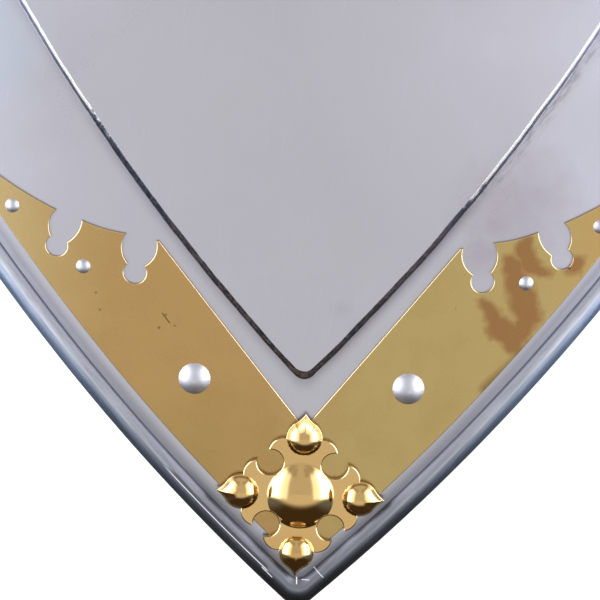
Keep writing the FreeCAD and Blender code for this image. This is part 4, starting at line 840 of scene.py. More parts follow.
def relief(name, polygon, thick, bevel, pitch, rise, place, material):
    """A plate on a closed outline given anticlockwise, with a rounded edge and a worked top.
    bevel is one size for each point of the outline, rise gives the height over the plate's back,
    and place turns plan and height into space."""
    count = len(polygon)
    edges = []
    for (ax, ay), (bx, by) in loop_pairs(polygon):
        edges.append(Vector((by - ay, ax - bx)).normalized())
    outs, sharp = [], []
    for before, after in zip(edges[-1:] + edges[:-1], edges):
        dot = before.dot(after)
        outs.append((before + after) / max(1 + dot, 0.25))
        sharp.append(dot < 0.88)
    rings = [math.radians(tilt) for tilt in (90, 90, 70, 52, 36, 18, 0)]
    plan = [(x, y, 0.0) for x, y in polygon]
    for a in rings[1:]:
        for (x, y), out, size in zip(polygon, outs, bevel):
            inset = size * (1 - math.sin(a))
            plan.append((x - out.x * inset, y - out.y * inset, thick - size * (1 - math.cos(a))))
    last = (len(rings) - 1) * count
    faces, tilts = [], []
    for k in range(len(rings) - 1):
        for i in range(count):
            j = (i + 1) % count
            corners = ((i, k), (j, k), (j, k + 1), (i, k + 1))
            faces.append(tuple(ring * count + spot for spot, ring in corners))
            for spot, ring in corners:
                out = edges[i] if sharp[spot] else outs[spot].normalized()
                a = rings[ring]
                tilts.append((out.x * math.sin(a), out.y * math.sin(a), math.cos(a)))

    def cover(outline, start, inner, height, tilt, sign):
        """Triangles over an outline that the plan holds already, through more places inside it."""
        flat = [Vector(p) for p in (*outline, *inner)]
        got, _, areas, sources, _, _ = delaunay_2d_cdt(flat, [], [list(range(count))], 1, 1e-5)
        number = []
        for spot, came in zip(got, sources):
            if came and came[0] < count:
                number.append(start + came[0])
            else:
                number.append(len(plan))
                plan.append((spot.x, spot.y, height(spot.x, spot.y)))
        lean = [tilt(*plan[v][:2]) for v in number]
        for area in areas:
            corners = area if cross(*(plan[number[c]] for c in area[:3])) * sign > 0 else area[::-1]
            faces.append(tuple(number[c] for c in corners))
            tilts.extend(lean[c] for c in corners)

    rim = [p[:2] for p in plan[last:]]
    grid = inner_grid(rim, pitch)
    cover(rim, last, grid, rise, slope_of(rise), 1)
    thin = grid[:: max(1, round(4 / pitch) ** 2)]
    cover(polygon, 0, thin, lambda x, y: 0.0, lambda x, y: (0.0, 0.0, -1.0), -1)
    placed = [place(*p) for p in plan]
    corner_normals = []
    for v, (a, b, c) in zip((v for face in faces for v in face), tilts):
        across, up, out = placed[v][1]
        corner_normals.append(across * a + up * b + out * c)
    made = made_object(name, [p for p, turn in placed], faces, corner_normals, [material])
    # edge marks the rounded edge, which the brass lightens as a painted highlight
    edge = [0.0] * count + [1.0] * (last - count) + [0.0] * (len(plan) - last)
    made.data.attributes.new("edge", "FLOAT", "POINT").data.foreach_set("value", edge)
    return made


def on_sheet(x, z, height):
    across, out = facing(x, height)
    return (x, surface(x, height), z + POINT_Z), (across, UP, out)


def anticlockwise(points):
    area = sum(ax * by - bx * ay for (ax, ay), (bx, by) in loop_pairs(points))
    return points if area > 0 else points[::-1]


# Brass mounts: an arm's scalloped end is given as shares of its length and of its width

MOUNT_OUTER, MOUNT_INNER, MOUNT_THROAT = 11.4, 45.5, 41.6
MOUNT_ARM = 182.0
MOUNT_THICK = 0.8
MOUNT_EDGE = 0.27
MOUNT_SHIFT = 0.6
ARM_STEPS = 60
ARM_END = (
    ((0.887, 0.176), (0.781, 0.434)),
    ((0.768, 0.305), (0.749, 0.261)),
    ((0.721, 0.173), (0.726, 0.340)),
    ((0.729, 0.457), (0.743, 0.563)),
    ((0.711, 0.674), (0.682, 0.809)),
    ((0.665, 0.698), (0.638, 0.660)),
    ((0.607, 0.581), (0.618, 0.760)),
    ((0.622, 0.889), (0.642, 0.982)),
)
ARM_SHOULDER = 0.639
TIP_ANGLE = math.acos(-SIDE_CENTRE / SIDE_RADIUS)


def side_spot(angle, inset):
    return around(SIDE_RADIUS - inset, -angle, (SIDE_CENTRE, SHOULDER))


def tip_arm(along, inset):
    return side_spot(TIP_ANGLE - along / SIDE_RADIUS, inset)


def tip_begin(inset):
    return SIDE_RADIUS * (TIP_ANGLE - math.acos(-SIDE_CENTRE / (SIDE_RADIUS - inset)))


def flank_arm(along, inset):
    if along <= SIDE_STRAIGHT:
        return HALF_WIDTH - inset, TOP - along
    return side_spot((along - SIDE_STRAIGHT) / SIDE_RADIUS, inset)


def top_arm(along, inset):
    return HALF_WIDTH - along, TOP - inset


def arm_run(at, begin):
    """One arm's edge from the corner's outer point round its scalloped end to the throat."""
    start = begin(MOUNT_OUTER)
    reach = (MOUNT_ARM - start) / ARM_STEPS
    run = [at(start + reach * k, MOUNT_OUTER) for k in range(ARM_STEPS + 1)]
    wide = MOUNT_INNER - MOUNT_OUTER
    for shares in ARM_END:
        middle, end = [at(a * MOUNT_ARM, MOUNT_OUTER + c * wide) for a, c in shares]
        run += arc_through(run[-1], middle, end, 0.6)
    for goal in (at(ARM_SHOULDER * MOUNT_ARM, MOUNT_INNER), at(begin(MOUNT_THROAT), MOUNT_THROAT)):
        run += straight(run[-1], goal, 3)
    return run


def mount(corner):
    if corner == "bottom":
        first = arm_run(tip_arm, tip_begin)
        second = [(-x, z) for x, z in first]
        shift, sign = MOUNT_SHIFT, 1
    else:
        first = arm_run(flank_arm, lambda inset: inset)
        second = arm_run(top_arm, lambda inset: inset)
        shift, sign = 0.0, -1 if corner == "top_left" else 1
    loop = anticlockwise([(sign * x + shift, z) for x, z in first + second[-2:0:-1]])
    made = relief(
        f"mount_{corner}_sheet", loop, MOUNT_THICK, [MOUNT_EDGE] * len(loop), 4.0,
        lambda x, z: MOUNT_THICK, on_sheet, MOUNT_BRASS,
    )
    return joins(made, "mount_brass", f"corner_mount_{corner}")


# Bosses: a dome in the middle of a cross whose arms end in small pointed domes

BOSS_INSET = 27.3
BOSS_REACH = 25.0
BOSS_THICK = 1.8
BOSS_TURN = -2.3
BOSS_EDGE, LOBE_EDGE = 0.5, 0.25
DOME_RADIUS, DOME_HEIGHT = 9.7, 4.2
LOBE_RADIUS, LOBE_DOME, LOBE_HEIGHT, LOBE_OFFSET = 5.3, 5.1, 3.3, 17.6
ARM_START = (0.408, 0.536)
ARM_ARCS = (
    ((0.345, 0.650), (0.212, 0.690)),
    ((LOBE_RADIUS / BOSS_REACH, LOBE_OFFSET / BOSS_REACH), (0.130, 0.872)),
    ((0.048, 0.935), (0.0, 1.0)),
)
NOTCH = 0.270
FLARE_FIRST, FLARE_MIDDLE, FLARE_LAST = (3.13, 21.63), (1.08, 23.27), (0.0, 24.65)
FLARE_CENTRE = circle_of(FLARE_FIRST, FLARE_MIDDLE, FLARE_LAST)
FLARE_RADIUS = math.dist(FLARE_CENTRE, FLARE_FIRST)
FLARE_TURN = math.atan2(FLARE_FIRST[0], FLARE_FIRST[1] - LOBE_OFFSET)


def boss_loop():
    """The cross: four arms with a round notch between two of them."""
    right = [tuple(part * BOSS_REACH for part in ARM_START)]
    for arc in ARM_ARCS:
        middle, end = (tuple(part * BOSS_REACH for part in spot) for spot in arc)
        right += arc_through(right[-1], middle, end, 0.35)
    arm = right + [(-x, y) for x, y in right[-2::-1]]
    notch = NOTCH * BOSS_REACH
    arm += arc_through(arm[-1], (-notch, notch), (-right[0][1], right[0][0]), 0.4)[:-1]
    loop = []
    for turn in range(4):
        loop += arm
        arm = [(-y, x) for x, y in arm]
    return anticlockwise(loop)


def cap(distance, radius, height):
    """Height of a ball's cap at a distance from its middle."""
    ball = (radius**2 + height**2) / (2 * height)
    return math.sqrt(max(ball**2 - distance**2, 0.0)) - (ball - height)


def lobe_depth(across, along):
    """Distance into the pointed ground of a small dome, negative outside it."""
    across = abs(across)
    options = [-math.dist((across, along), FLARE_LAST) if along > FLARE_LAST[1] else 9.0]
    if math.atan2(across, along - LOBE_OFFSET) >= FLARE_TURN:
        options.append(LOBE_DOME - math.hypot(across, along - LOBE_OFFSET))
    here = (across, along)
    whole = cross(FLARE_CENTRE, FLARE_FIRST, FLARE_LAST)
    begun, left = cross(FLARE_CENTRE, FLARE_FIRST, here), cross(FLARE_CENTRE, here, FLARE_LAST)
    if whole * begun >= 0 and whole * left >= 0:
        options.append(math.dist(FLARE_CENTRE, here) - FLARE_RADIUS)
    return min(options, key=abs)


def eased(a, b, blend):
    """The larger of two heights, with a small round where they meet."""
    return max(a, b) + max(blend - abs(a - b), 0.0) ** 2 / (4 * blend)


def boss_rise(x, y):
    dome = BOSS_THICK + cap(math.hypot(x, y), DOME_RADIUS, DOME_HEIGHT)
    depth = lobe_depth(min(abs(x), abs(y)), max(abs(x), abs(y)))
    lobe = BOSS_THICK + cap(LOBE_DOME - max(depth, -1.0), LOBE_DOME, LOBE_HEIGHT)
    return eased(eased(BOSS_THICK, dome, 0.6), lobe, 0.25)


def boss(corner):
    if corner == "bottom":
        drop = math.sqrt((SIDE_RADIUS - BOSS_INSET) ** 2 - SIDE_CENTRE**2)
        x, z, turn = 0.0, SHOULDER - drop, math.radians(BOSS_TURN)
    else:
        x = (HALF_WIDTH - BOSS_INSET) * (-1 if corner == "top_left" else 1)
        z, turn = TOP - BOSS_INSET, math.pi / 4
    centre, (across, up, out) = on_sheet(x, z, MOUNT_THICK)
    c, s = around(1, turn)
    right, ahead = across * c + up * s, up * c - across * s

    def place(a, b, height):
        return Vector(centre) + right * a + ahead * b + out * height, (right, ahead, out)

    loop = boss_loop()
    lobe = [limited((max(abs(a), abs(b)) - 16.6) / 1.2) for a, b in loop]
    bevel = [BOSS_EDGE + (LOBE_EDGE - BOSS_EDGE) * share for share in lobe]
    made = relief(
        f"boss_{corner}_casting", loop, BOSS_THICK, bevel, 0.34, boss_rise, place, BOSS_BRASS
    )
    return joins(made, "boss_brass", f"boss_{corner}")


# Straps: bent paths out of the field's back, in a frame with Y out of the back and Z up


def back_frame(x, z):
    """Frame on the field's back at a place of the shield, with its origin in millimetres."""
    sine = x / FIELD_BACK
    cosine = math.sqrt(1 - sine * sine)
    depth = AXIS_Y - math.sqrt(FIELD_BACK**2 - x * x)
    return Matrix((
        (cosine, -sine, 0, x),
        (sine, cosine, 0, depth),
        (0, 0, 1, z + POINT_Z),
        (0, 0, 0, 1),
    ))


def spun(arm, angle):
    c, s = around(1, angle)
    return Vector((arm.x * c - arm.y * s, arm.x * s + arm.y * c))


def route(points, bends):
    """Stations along a bent path: place, direction and length so far."""
    points = [Vector(p) for p in points]
    pitch, bend_step = 4.0, 0.14
    spots = []
    last = points[0]
    for corner, after, radius in zip(points[1:-1], points[2:], bends):
        into, out = (corner - last).normalized(), (after - corner).normalized()
        turn = abs(into.angle_signed(out))
        trim = radius * math.tan(turn / 2)
        begin = corner - into * trim
        steps = max(1, round((begin - last).length / pitch))
        spots += [(last.lerp(begin, k / steps), into) for k in range(steps)]
        side = 1 if into.x * out.y - into.y * out.x > 0 else -1
        centre = begin + Vector((-into.y, into.x)) * side * radius
        steps = max(3, round(turn / bend_step))
        for k in range(steps):
            angle = side * turn * k / steps
            spots.append((centre + spun(begin - centre, angle), spun(into, angle)))
        last = corner + out * trim
    steps = max(1, round((points[-1] - last).length / pitch))
    spots += [(last.lerp(points[-1], k / steps), out) for k in range(steps + 1)]
    stations, length, before = [], 0.0, spots[0][0]
    for spot, ahead in spots:
        length += (spot - before).length
        stations.append((spot, ahead, length))
        before = spot
    return stations


CREASE, CREASE_DEPTH = 3.2, 0.22


def band_section(width, thick):
    """Section of a strap: rounded edges and a creased line beside each of them."""
    half, flat = width / 2, thick / 2
    soft = min(1.1, flat * 0.75)
    dips = ((-1.4, 0), (-0.5, 0), (0, 1), (0.5, 0), (1.4, 0))
    side = [(CREASE - half + d, CREASE_DEPTH * dip - flat) for d, dip in dips]
    low = [(soft - half, -flat), *side, *((x, -flat) for x in (-half * 0.45, 0, half * 0.45))]
    low += [(-x, y) for x, y in reversed(side)] + [(half - soft, -flat)]
    for k in range(1, 6):
        c, s = around(1, math.radians(30 * k - 90))
        low.append((half - soft + soft * c, flat * s))
    return low + [(-x, -y) for x, y in low]


def strap_mesh(name, frame_of, stations, width, thick, ends):
    """A strap along its stations; ends gives how far it narrows at its beginning and its end."""
    section = band_section(width, thick)
    points = []
    for spot, ahead, length in stations:
        left = Vector((-ahead.y, ahead.x))
        narrow = 1.0
        for taper, gone in zip(ends, (length, stations[-1][2] - length)):
            if gone < taper:
                share = gone / taper
                if taper < 5:
                    share = 1 - taper / (width / 2) * (1 - math.sqrt(1 - (1 - share) ** 2))
                narrow = min(narrow, max(share, 0.04))
        for across, out in section:
            at = spot + left * out
            points.append(frame_of @ Vector((across * narrow, at.x, at.y)))
    count = len(section)
    faces = lattice(len(stations), count) + lids(len(stations), count)
    made = oriented(made_object(name, points, faces, None, [STRAP, STRAP_EDGE]))
    band, half = (len(stations) - 1) * count, count // 2
    for number, polygon in enumerate(made.data.polygons):
        polygon.material_index = 0 if number < band and number % half < half - 6 else 1
    return made


def prism(outline, low, high):
    """Cutter through a forearm strap: an outline in its X and Z, between two depths."""
    points = [FOREARM @ Vector((x, depth, z)) for depth in (low, high) for x, z in outline]
    count = len(outline)
    return oriented(made_object("cutter", points, lattice(2, count) + lids(2, count)))


def stadium(half, low, high):
    """Outline of a slot with round ends, or of a hole where low and high lie one width apart."""
    turn = [math.pi * k / 10 for k in range(11)]
    upper = [around(half, a, (0, high - half)) for a in turn]
    return upper + [around(half, a + math.pi, (0, low + half)) for a in turn]


def pierced(made, cutters):
    """Cut through a strap and drop the cutters."""
    for cutter in cutters:
        work = made.modifiers.new("cut", "BOOLEAN")
        work.operation, work.solver, work.object = "DIFFERENCE", "MANIFOLD", cutter
    applied(made)
    finish = [min(polygon.material_index, 1) for polygon in made.data.polygons]
    made.data.materials.clear()
    for material in (STRAP, STRAP_EDGE):
        made.data.materials.append(material)
    made.data.polygons.foreach_set("material_index", finish)
    for cutter in cutters:
        bpy.data.objects.remove(cutter)


def leather_strap(node, frame_of, stations, width, thick, ends, cutters=()):
    made = strap_mesh(f"{node}_leather", frame_of, stations, width, thick, ends)
    if cutters:
        pierced(made, cutters)
    made.data.set_sharp_from_angle(angle=math.radians(38))
    joins(made, "strap_leather", node)


STITCH_PITCH, STITCH_SIZE, STITCH_THREAD = 4.6, 3.3, 0.36


def stitch_row(name, frame_of, stations, offset, lift, begin, end):
    """Saddle stitches along both edges of a strap, on both its faces."""
    turned = frame_of.to_3x3()

    def at(length):
        for (spot, ahead, here), (after, towards, there) in zip(stations, stations[1:]):
            if here <= length <= there and there > here:
                share = (length - here) / (there - here)
                return spot.lerp(after, share), ahead.lerp(towards, share).normalized()

    rows = []
    for k in range(int((end - begin) / STITCH_PITCH)):
        for across, out in ((-offset, lift), (-offset, -lift), (offset, lift), (offset, -lift)):
            rings = []
            for share in (-1, -0.5, 0, 0.5, 1):
                spot, ahead = at(begin + (k + 0.5) * STITCH_PITCH + share * STITCH_SIZE / 2)
                left = Vector((-ahead.y, ahead.x))
                sunk = abs(share) ** 3 * STITCH_THREAD * 0.7
                centre = spot + left * (out - math.copysign(sunk, out))
                middle = frame_of @ Vector((across + share * 0.25, centre.x, centre.y))
                fat = STITCH_THREAD * 1.05 * math.sqrt(1 - (share * 0.93) ** 2)
                rings.append((middle, turned.col[0], turned @ Vector((0, left.x, left.y)), fat))
            rows.append(rings)
    stitches(name, "strap_leather", rows)


FOREARM, HAND = back_frame(80.0, 400.0), back_frame(-95.0, 400.0)
FOREARM_LIFT, HAND_LIFT = 1.755, 2.187
UPPER = route(
    [(FOREARM_LIFT, 101), (FOREARM_LIFT, 75), (105, 75), (105, -17.65), (95.621, -17.65),
     (101.9, -4.184), (101.9, 14)],
    [8, 28, 3.65, 3.65, 3],
)
LOWER = route(
    [(FOREARM_LIFT, -101), (FOREARM_LIFT, -75), (97.55, -75), (97.55, -31.195), (108.1, -16.128),
     (108.1, 42)],
    [8, 28, 6, 6.75],
)
HAND_ROUTE = route(
    [(HAND_LIFT, 78), (HAND_LIFT, 52), (48, 52), (48, -52), (HAND_LIFT, -52), (HAND_LIFT, -78)],
    [8, 24, 24, 8],
)
SLOT_HALF, HOLE_RADIUS = 2.2, 1.9


def straps():
    slot = prism(stadium(SLOT_HALF, -30, -8.05), 84, 118)
    leather_strap("forearm_strap_upper", FOREARM, UPPER, 35, 3, (4, 0), [slot])
    cutters = [prism(stadium(SLOT_HALF, -28.03, -7.25), 98.5, 118)]
    for z in (6, 26):
        ring = [around(HOLE_RADIUS, math.pi * k / 10, (0, z)) for k in range(20)]
        cutters.append(prism(ring, 100, 116))
    leather_strap("forearm_strap_lower", FOREARM, LOWER, 35, 3, (4, 12), cutters)
    stitch_row("forearm_upper_stitches", FOREARM, UPPER, 14.3, 1.42, 5, 214)
    stitch_row("forearm_lower_stitches", FOREARM, LOWER, 14.3, 1.42, 5, 152)
    leather_strap("hand_strap", HAND, HAND_ROUTE, 30, 4, (4, 4))
    stitch_row("hand_stitches", HAND, HAND_ROUTE, 11.8, 1.92, 6, HAND_ROUTE[-1][2] - 6)
    keeper()


KEEPER_LOW, KEEPER_HIGH, KEEPER_Z = 103.3, 109.8, 24.0
KEEPER_HALF, KEEPER_BEND = 18.7, 1.9


def squared(value, power):
    """A sine or cosine pushed out towards a square's side."""
    return math.copysign(abs(value) ** power, value)


def keeper():
    """Loop round the strap and its tail, in the plane across them."""
    middle = (KEEPER_LOW + KEEPER_HIGH) / 2
    side, rise = KEEPER_HALF - KEEPER_BEND, (KEEPER_HIGH - KEEPER_LOW) / 2 + 1 - KEEPER_BEND
    loop = []
    for number, (cx, cy) in enumerate(((1, 1), (-1, 1), (-1, -1), (1, -1))):
        for k in range(6):
            turn = math.radians(90 * number + 18 * k)
            loop.append((*around(KEEPER_BEND, turn, (cx * side, cy * rise)), *around(1, turn)))
    section = []
    for k in range(16):
        c, s = around(1, math.pi * k / 8)
        section.append((squared(c, 0.45) * 0.98, squared(s, 0.35) * 5))
    points, runs = [], 0
    for first, last in loop_pairs(loop):
        steps = max(1, round(math.dist(first[:2], last[:2]) / 3))
        for k in range(steps):
            x, y, nx, ny = (a + (b - a) * k / steps for a, b in zip(first, last))
            nx, ny = Vector((nx, ny)).normalized()
            for out, along in section:
                spot = Vector((x + nx * out, middle + y + ny * out, KEEPER_Z + along))
                points.append(FOREARM @ spot)
        runs += steps
    faces = lattice(runs, len(section), closed=True)
    made = oriented(made_object("strap_keeper_loop", points, faces, None, [STRAP_EDGE]))
    made.data.set_sharp_from_angle(angle=math.radians(60))
    joins(made, "strap_leather", "strap_keeper")


# Arm pad: a stuffed cushion swollen from its CAD shape, tufted at its rivets, piped and stitched

PAD_X, PAD_LEVEL = 40.0, 400.0
PAD_HALF = (90.0, 62.0)
PAD_FRAME = back_frame(PAD_X, PAD_LEVEL)
TUFTS = [(PAD_X + i * 74.0, PAD_LEVEL + k * 46.0) for i in (-1, 1) for k in (-1, 1)]
TUFT_HEAD, TUFT_REACH, TUFT_PLEATS = 5.2, 34.0, 9
MAX_SWELL = 0.007
CLOTH = {
    "quality": 6,
    "mass": 0.3,
    "tension_stiffness": 14,
    "compression_stiffness": 14,
    "shear_stiffness": 6,
    "bending_stiffness": 0.6,
    "use_pressure": True,
    "uniform_pressure_force": 4,
    "vertex_group_mass": "held",
}


def on_drum(place):
    """Angle about the bend's axis and depth off the field's back of a place in metres."""
    x, y = place.x / MM, place.y / MM
    return math.atan2(x, AXIS_Y - y), FIELD_BACK - math.hypot(x, y - AXIS_Y)


def swollen(made):
    """Blow the cushion up as cloth, with its front held against the plate."""
    start = [v.co.copy() for v in made.data.vertices]
    group = made.vertex_groups.new(name="held")
    for vertex in made.data.vertices:
        group.add([vertex.index], 1.0 if on_drum(vertex.co)[1] < 1.2 else 0.0, "REPLACE")
    cloth = made.modifiers.new("swell", "CLOTH").settings
    for key, value in CLOTH.items():
        setattr(cloth, key, value)
    cloth.effector_weights.gravity = 0
    for number in range(1, 21):
        bpy.context.scene.frame_set(number)
    applied(made)
    bpy.context.scene.frame_set(1)
    for vertex, before in zip(made.data.vertices, start):
        move = vertex.co - before
        if move.length > MAX_SWELL:
            vertex.co = before + move.normalized() * MAX_SWELL


def tufted(turn, depth, level):
    """Depth of the cushion's cover where the rivets draw it in."""
    for tuft_x, tuft_z in TUFTS:
        across = (turn - math.asin(tuft_x / (BEND + FIELD_RISE))) * FIELD_BACK
        up = level - tuft_z
        away = math.hypot(across, up)
        if away < TUFT_REACH:
            share = max(0.0, (away - TUFT_HEAD) / (TUFT_REACH - TUFT_HEAD))
            pleat = 0.5 + 0.5 * math.sin(math.atan2(up, across) * TUFT_PLEATS)
            depth = min(depth, 5.1 + 22 * share**0.62 - 2.6 * pleat * share * (1 - share))
    return max(depth, 0.35)


def cushion():
    made = linked("arm_pad_cushion", NODES["arm_pad"].data.copy())
    work = made.modifiers.new("even", "REMESH")
    work.mode, work.voxel_size = "VOXEL", 0.0045
    applied(made)
    for vertex in made.data.vertices:
        local = PAD_FRAME.inverted() @ (vertex.co / MM)
        vertex.co = (PAD_FRAME @ (local * Vector((0.985, 0.93, 0.98)))) * MM
    swollen(made)
    work = made.modifiers.new("soft", "SUBSURF")
    work.levels = work.render_levels = 2
    applied(made)
    for vertex in made.data.vertices:
        turn, depth = on_drum(vertex.co)
        x, z = vertex.co.x / MM, vertex.co.z / MM
        depth = tufted(turn, depth, z - POINT_Z)
        if depth > 4:
            depth += noise.noise(Vector((x * 0.045, z * 0.045, 4.0))) * 0.7
        vertex.co = drum(turn, depth, z) * MM
    made.data.materials.clear()
    made.data.materials.append(PAD_LEATHER)
    made.data.polygons.foreach_set("use_smooth", [True] * len(made.data.polygons))
    joins(made, "pad_leather", "arm_pad")
    return made


def pad_loop(inset, count=240):
    """The pad's outline in its plan: four drawn-in sides and rounded corners."""
    half_x, half_z = (half - inset for half in PAD_HALF)
    points = []
    for k in range(count):
        c, s = around(1, 2 * math.pi * k / count)
        x, z = squared(c, 2 / 9) * half_x, squared(s, 2 / 9) * half_z
        pull = 4 * (1 - min(1.0, abs(x / half_x) ** 2 * abs(z / half_z) ** 2))
        if abs(x) * half_z > abs(z) * half_x:
            x -= math.copysign(pull * (1 - (z / half_z) ** 2), x)
        else:
            z -= math.copysign(pull * (1 - (x / half_x) ** 2), z)
        points.append((x, z))
    return [spot for a, b in loop_pairs(points) for spot in [a] + straight(a, b, 2.0)[:-1]]


def tube(name, path, radius, sides, material):
    """A round cord along a closed row of millimetre points."""
    points = []
    for k, spot in enumerate(path):
        ahead = (path[(k + 1) % len(path)] - path[k - 1]).normalized()
        out = ahead.cross(Vector((0, 1, 0))).normalized()
        up = out.cross(ahead)
        for q in range(sides):
            a, b = around(radius, 2 * math.pi * q / sides)
            points.append(spot + out * a + up * b)
    faces = lattice(len(path), sides, closed=True)
    return oriented(made_object(name, points, faces, None, [material]))


SEAM, PIPE_RADIUS = 4.6, 1.9
PAD_PITCH, PAD_STITCH, PAD_THREAD = 5.2, 3.7, 0.42


def pad_trim(made):
    """Piping round the cushion's seam and a row of stitches inside it, laid on its surface."""
    tree = BVHTree.FromObject(made, bpy.context.evaluated_depsgraph_get())

    def off_plate(x, z, depth):
        turn = math.asin(PAD_X / FIELD_BACK) + x / FIELD_BACK
        return drum(turn, depth, z + PAD_LEVEL + POINT_Z)

    def struck(start, goal):
        """Where a ray meets the cushion, or None, and the ray's direction."""
        aim = (goal - start).normalized()
        hit = tree.ray_cast(start * MM, aim)[0]
        return None if hit is None else hit / MM, aim

    path = []
    for x, z in pad_loop(0):
        hit, aim = struck(off_plate(x * 1.2, z * 1.25, SEAM), off_plate(x * 0.72, z * 0.62, SEAM))
        path.append(off_plate(x, z, SEAM) if hit is None else hit - aim * 0.9)
    for turn in range(3):
        around_it = zip(path[-1:] + path[:-1], path, path[1:] + path[:1])
        path = [(before + spot * 2 + after) / 4 for before, spot, after in around_it]
    joins(tube("arm_pad_piping", path, PIPE_RADIUS, 10, PIPING), "pad_leather")

    row = [struck(off_plate(x, z, 60), off_plate(x, z, 0))[0] for x, z in pad_loop(9)]
    row = [spot for spot in row if spot is not None]
    lengths = [0.0]
    for a, b in zip(row, row[1:]):
        lengths.append(lengths[-1] + (b - a).length)
    rows = []
    for n in range(int(lengths[-1] / PAD_PITCH)):
        rings = []
        for share in (-1, -0.5, 0, 0.5, 1):
            goal = (n + 0.5) * PAD_PITCH + share * PAD_STITCH / 2
            k = min(bisect(lengths, goal), len(row) - 1) - 1
            part = (goal - lengths[k]) / max(1e-6, lengths[k + 1] - lengths[k])
            spot = row[k].lerp(row[k + 1], part)
            out = (Vector((0, AXIS_Y, spot.z)) - spot).normalized()
            side = (row[k + 1] - row[k]).normalized().cross(out).normalized()
            fat = PAD_THREAD * math.sqrt(1 - (share * 0.9) ** 2)
            rings.append((spot + out * (0.12 - 0.3 * abs(share) ** 3), side, out, fat))
        rows.append(rings)
    stitches("arm_pad_stitches", "pad_leather", rows)


# Studio: diffusers and a table that show in reflections, lamps, floor, world and the camera


def smooth(value, low, high):
    share = limited((value - low) / (high - low))
    return share * share * (3 - 2 * share)


def beam(az):
    """Light level of the diffusers at an angle from the camera: soft towards it, strong beside."""
    return (1.0 + 1.7 * smooth(az, 28, 38) + 4.0 * smooth(az, 47, 57)) * (1 - smooth(az, 88, 97))


COOL = (0.95, 1.0, 1.2)
DIM_CARD = 0.75


def card(name, rows, glow):
    """A studio card, seen only in reflections: rows of points with a light level for each."""
    g = Graph(name)
    shade = g.node("ShaderNodeAttribute", out="Color", attribute_name="glow")
    light = g.node("ShaderNodeEmission", {"Color": shade})
    g.feed(g.tree.nodes["Material Output"].inputs["Surface"], light)
    points = [spot for row in rows for spot in row]
    faces = lattice(len(rows), len(rows[0]), ring=False)
    made = made_object(name, points, faces, None, [g.material])
    shade = made.data.attributes.new("glow", "FLOAT_COLOR", "POINT")
    shade.data.foreach_set("color", [part for level in glow for part in (*level, 1.0)])
    made.visible_camera = made.visible_diffuse = made.visible_shadow = False


def softbox(name, side):
    """A curved diffuser beside the camera that fades out towards its edges."""
    reach = 1700
    rows, glow = [], []
    for r in range(25):
        el = -6 + 70 * r / 24
        flat, lift = around(reach, math.radians(el))
        row = []
        for c in range(29):
            az = 14 + 84 * c / 28
            turn = math.radians(az) * side
            row.append((flat * math.sin(turn), -20 - flat * math.cos(turn), lift - 520))
            level = beam(az) * (1 - smooth(el, 36, 58))
            glow.append([DIM_CARD + max(0.0, level - DIM_CARD) * tint for tint in COOL])
        rows.append(row)
    card(name, rows, glow)


def table():
    """The ground near the shield as a card seen only in reflections: a painted shadow dark under
    the point, blue at the sides, pale in front.
    """
    under, beside, before = (0.085, 0.058, 0.034), (0.22, 0.28, 0.38), 1.15
    rows, glow = [], []
    for r in range(81):
        y = -1720 + 2300 * r / 80
        row = []
        for c in range(91):
            x = -1710 + 3420 * c / 90
            row.append((x, y, -700))
            # near: the painted shadow under the shield
            near, front = 1 - smooth(abs(x), 140, 300), smooth(-y, 180, 360)
            level = beam(math.degrees(math.atan2(abs(x), -y)))
            share = smooth(math.hypot(x, y), 420, 750) * limited(level - 1)
            tones = []
            for a, b, tint in zip(beside, under, COOL):
                dark = a + (b - a) * near
                pale = dark + (before - dark) * front
                tones.append(pale + (level * tint - pale) * share)
            glow.append(tones)
        rows.append(row)
    card("table", rows, glow)


def photo_camera():
    """The photograph's place: 15 degrees above the point of the shield, with a long lens."""
    distance, sensor, pixels, pixel_size = 2.0, 36, 600, 0.0002932
    el, az, roll = math.radians(15), math.radians(-0.7), math.radians(1.72)
    back = Vector((math.sin(az) * math.cos(el), -math.cos(az) * math.cos(el), math.sin(el)))
    right = (-back).cross(UP).normalized()
    up = right.cross(-back)
    across = right * math.cos(roll) + up * math.sin(roll)
    above = up * math.cos(roll) - right * math.sin(roll)
    seen = Vector((-0.0018, -0.0101, -0.4673))
    data = bpy.data.cameras.new("photo_camera")
    data.sensor_width = sensor
    data.lens = sensor * distance / pixel_size / pixels
    made = linked("photo_camera", data)
    turned = Matrix((across, above, back)).transposed().to_4x4()
    made.matrix_world = Matrix.Translation(seen + back * distance) @ turned
    bpy.context.scene.camera = made


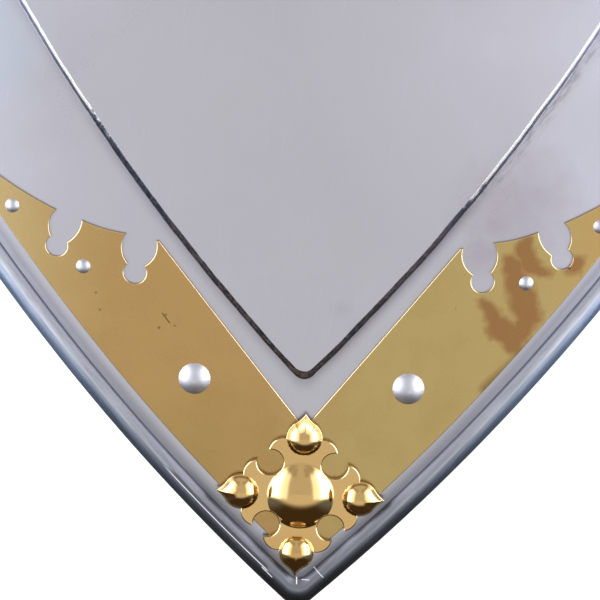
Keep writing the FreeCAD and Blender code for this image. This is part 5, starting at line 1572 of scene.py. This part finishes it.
LAMPS = (
    ("key_left", (-1.6, -1.6, 1.2), 1.4, 26),
    ("key_right", (1.6, -1.6, 1.2), 1.4, 22),
    ("back_fill", (0.3, 2.2, 0.9), 1.8, 24),
)
LAMP_AIM = Vector((0, 0, -0.3))
FLOOR_HALF, FLOOR_LEVEL = 6000, -720


def studio():
    g = Graph("studio_floor")
    shown = g.math(
        "ADD",
        g.node("ShaderNodeLightPath", out="Is Camera Ray"),
        g.node("ShaderNodeLightPath", out="Is Glossy Ray"),
        True,
    )
    g.set(Base_Color=(0.8, 0.8, 0.8), Roughness=0.9)
    g.set(Emission_Color=(1, 1, 1), Emission_Strength=shown * 0.4)
    plan = ((-1, -1), (1, -1), (1, 1), (-1, 1))
    points = [(x * FLOOR_HALF, y * FLOOR_HALF, FLOOR_LEVEL) for x, y in plan]
    made_object("studio_floor", points, [(0, 1, 2, 3)], None, [g.material])

    softbox("softbox_left", -1)
    softbox("softbox_right", 1)
    table()

    for name, at, size, power in LAMPS:
        lamp = bpy.data.lights.new(name, "AREA")
        lamp.shape, lamp.size, lamp.energy = "SQUARE", size, power
        made = linked(name, lamp)
        aim = (Vector(at) - LAMP_AIM).to_track_quat("Z", "Y").to_matrix().to_4x4()
        made.matrix_world = Matrix.Translation(at) @ aim
        made.visible_camera = made.visible_glossy = False

    world = bpy.data.worlds.new("studio")
    bpy.context.scene.world = world
    world.use_nodes = True
    tree = world.node_tree
    path = tree.nodes.new("ShaderNodeLightPath")
    seen = path.outputs["Is Camera Ray"]
    for kind in ("Is Glossy Ray", "Is Transmission Ray"):
        most = tree.nodes.new("ShaderNodeMath")
        most.operation = "MAXIMUM"
        tree.links.new(seen, most.inputs[0])
        tree.links.new(path.outputs[kind], most.inputs[1])
        seen = most.outputs[0]
    level = tree.nodes.new("ShaderNodeMapRange")
    level.inputs["To Min"].default_value = 0.55
    tree.links.new(seen, level.inputs["Value"])
    ground = tree.nodes["Background"]
    tree.links.new(level.outputs[0], ground.inputs["Strength"])
    ground.inputs["Color"].default_value = (1, 1, 1, 1)
    bpy.context.scene.view_settings.view_transform = "Standard"


plate_skin()
for place_name in ("bottom", "top_left", "top_right"):
    mount(place_name)
    boss(place_name)
straps()
pad_trim(cushion())
photo_camera()
studio()
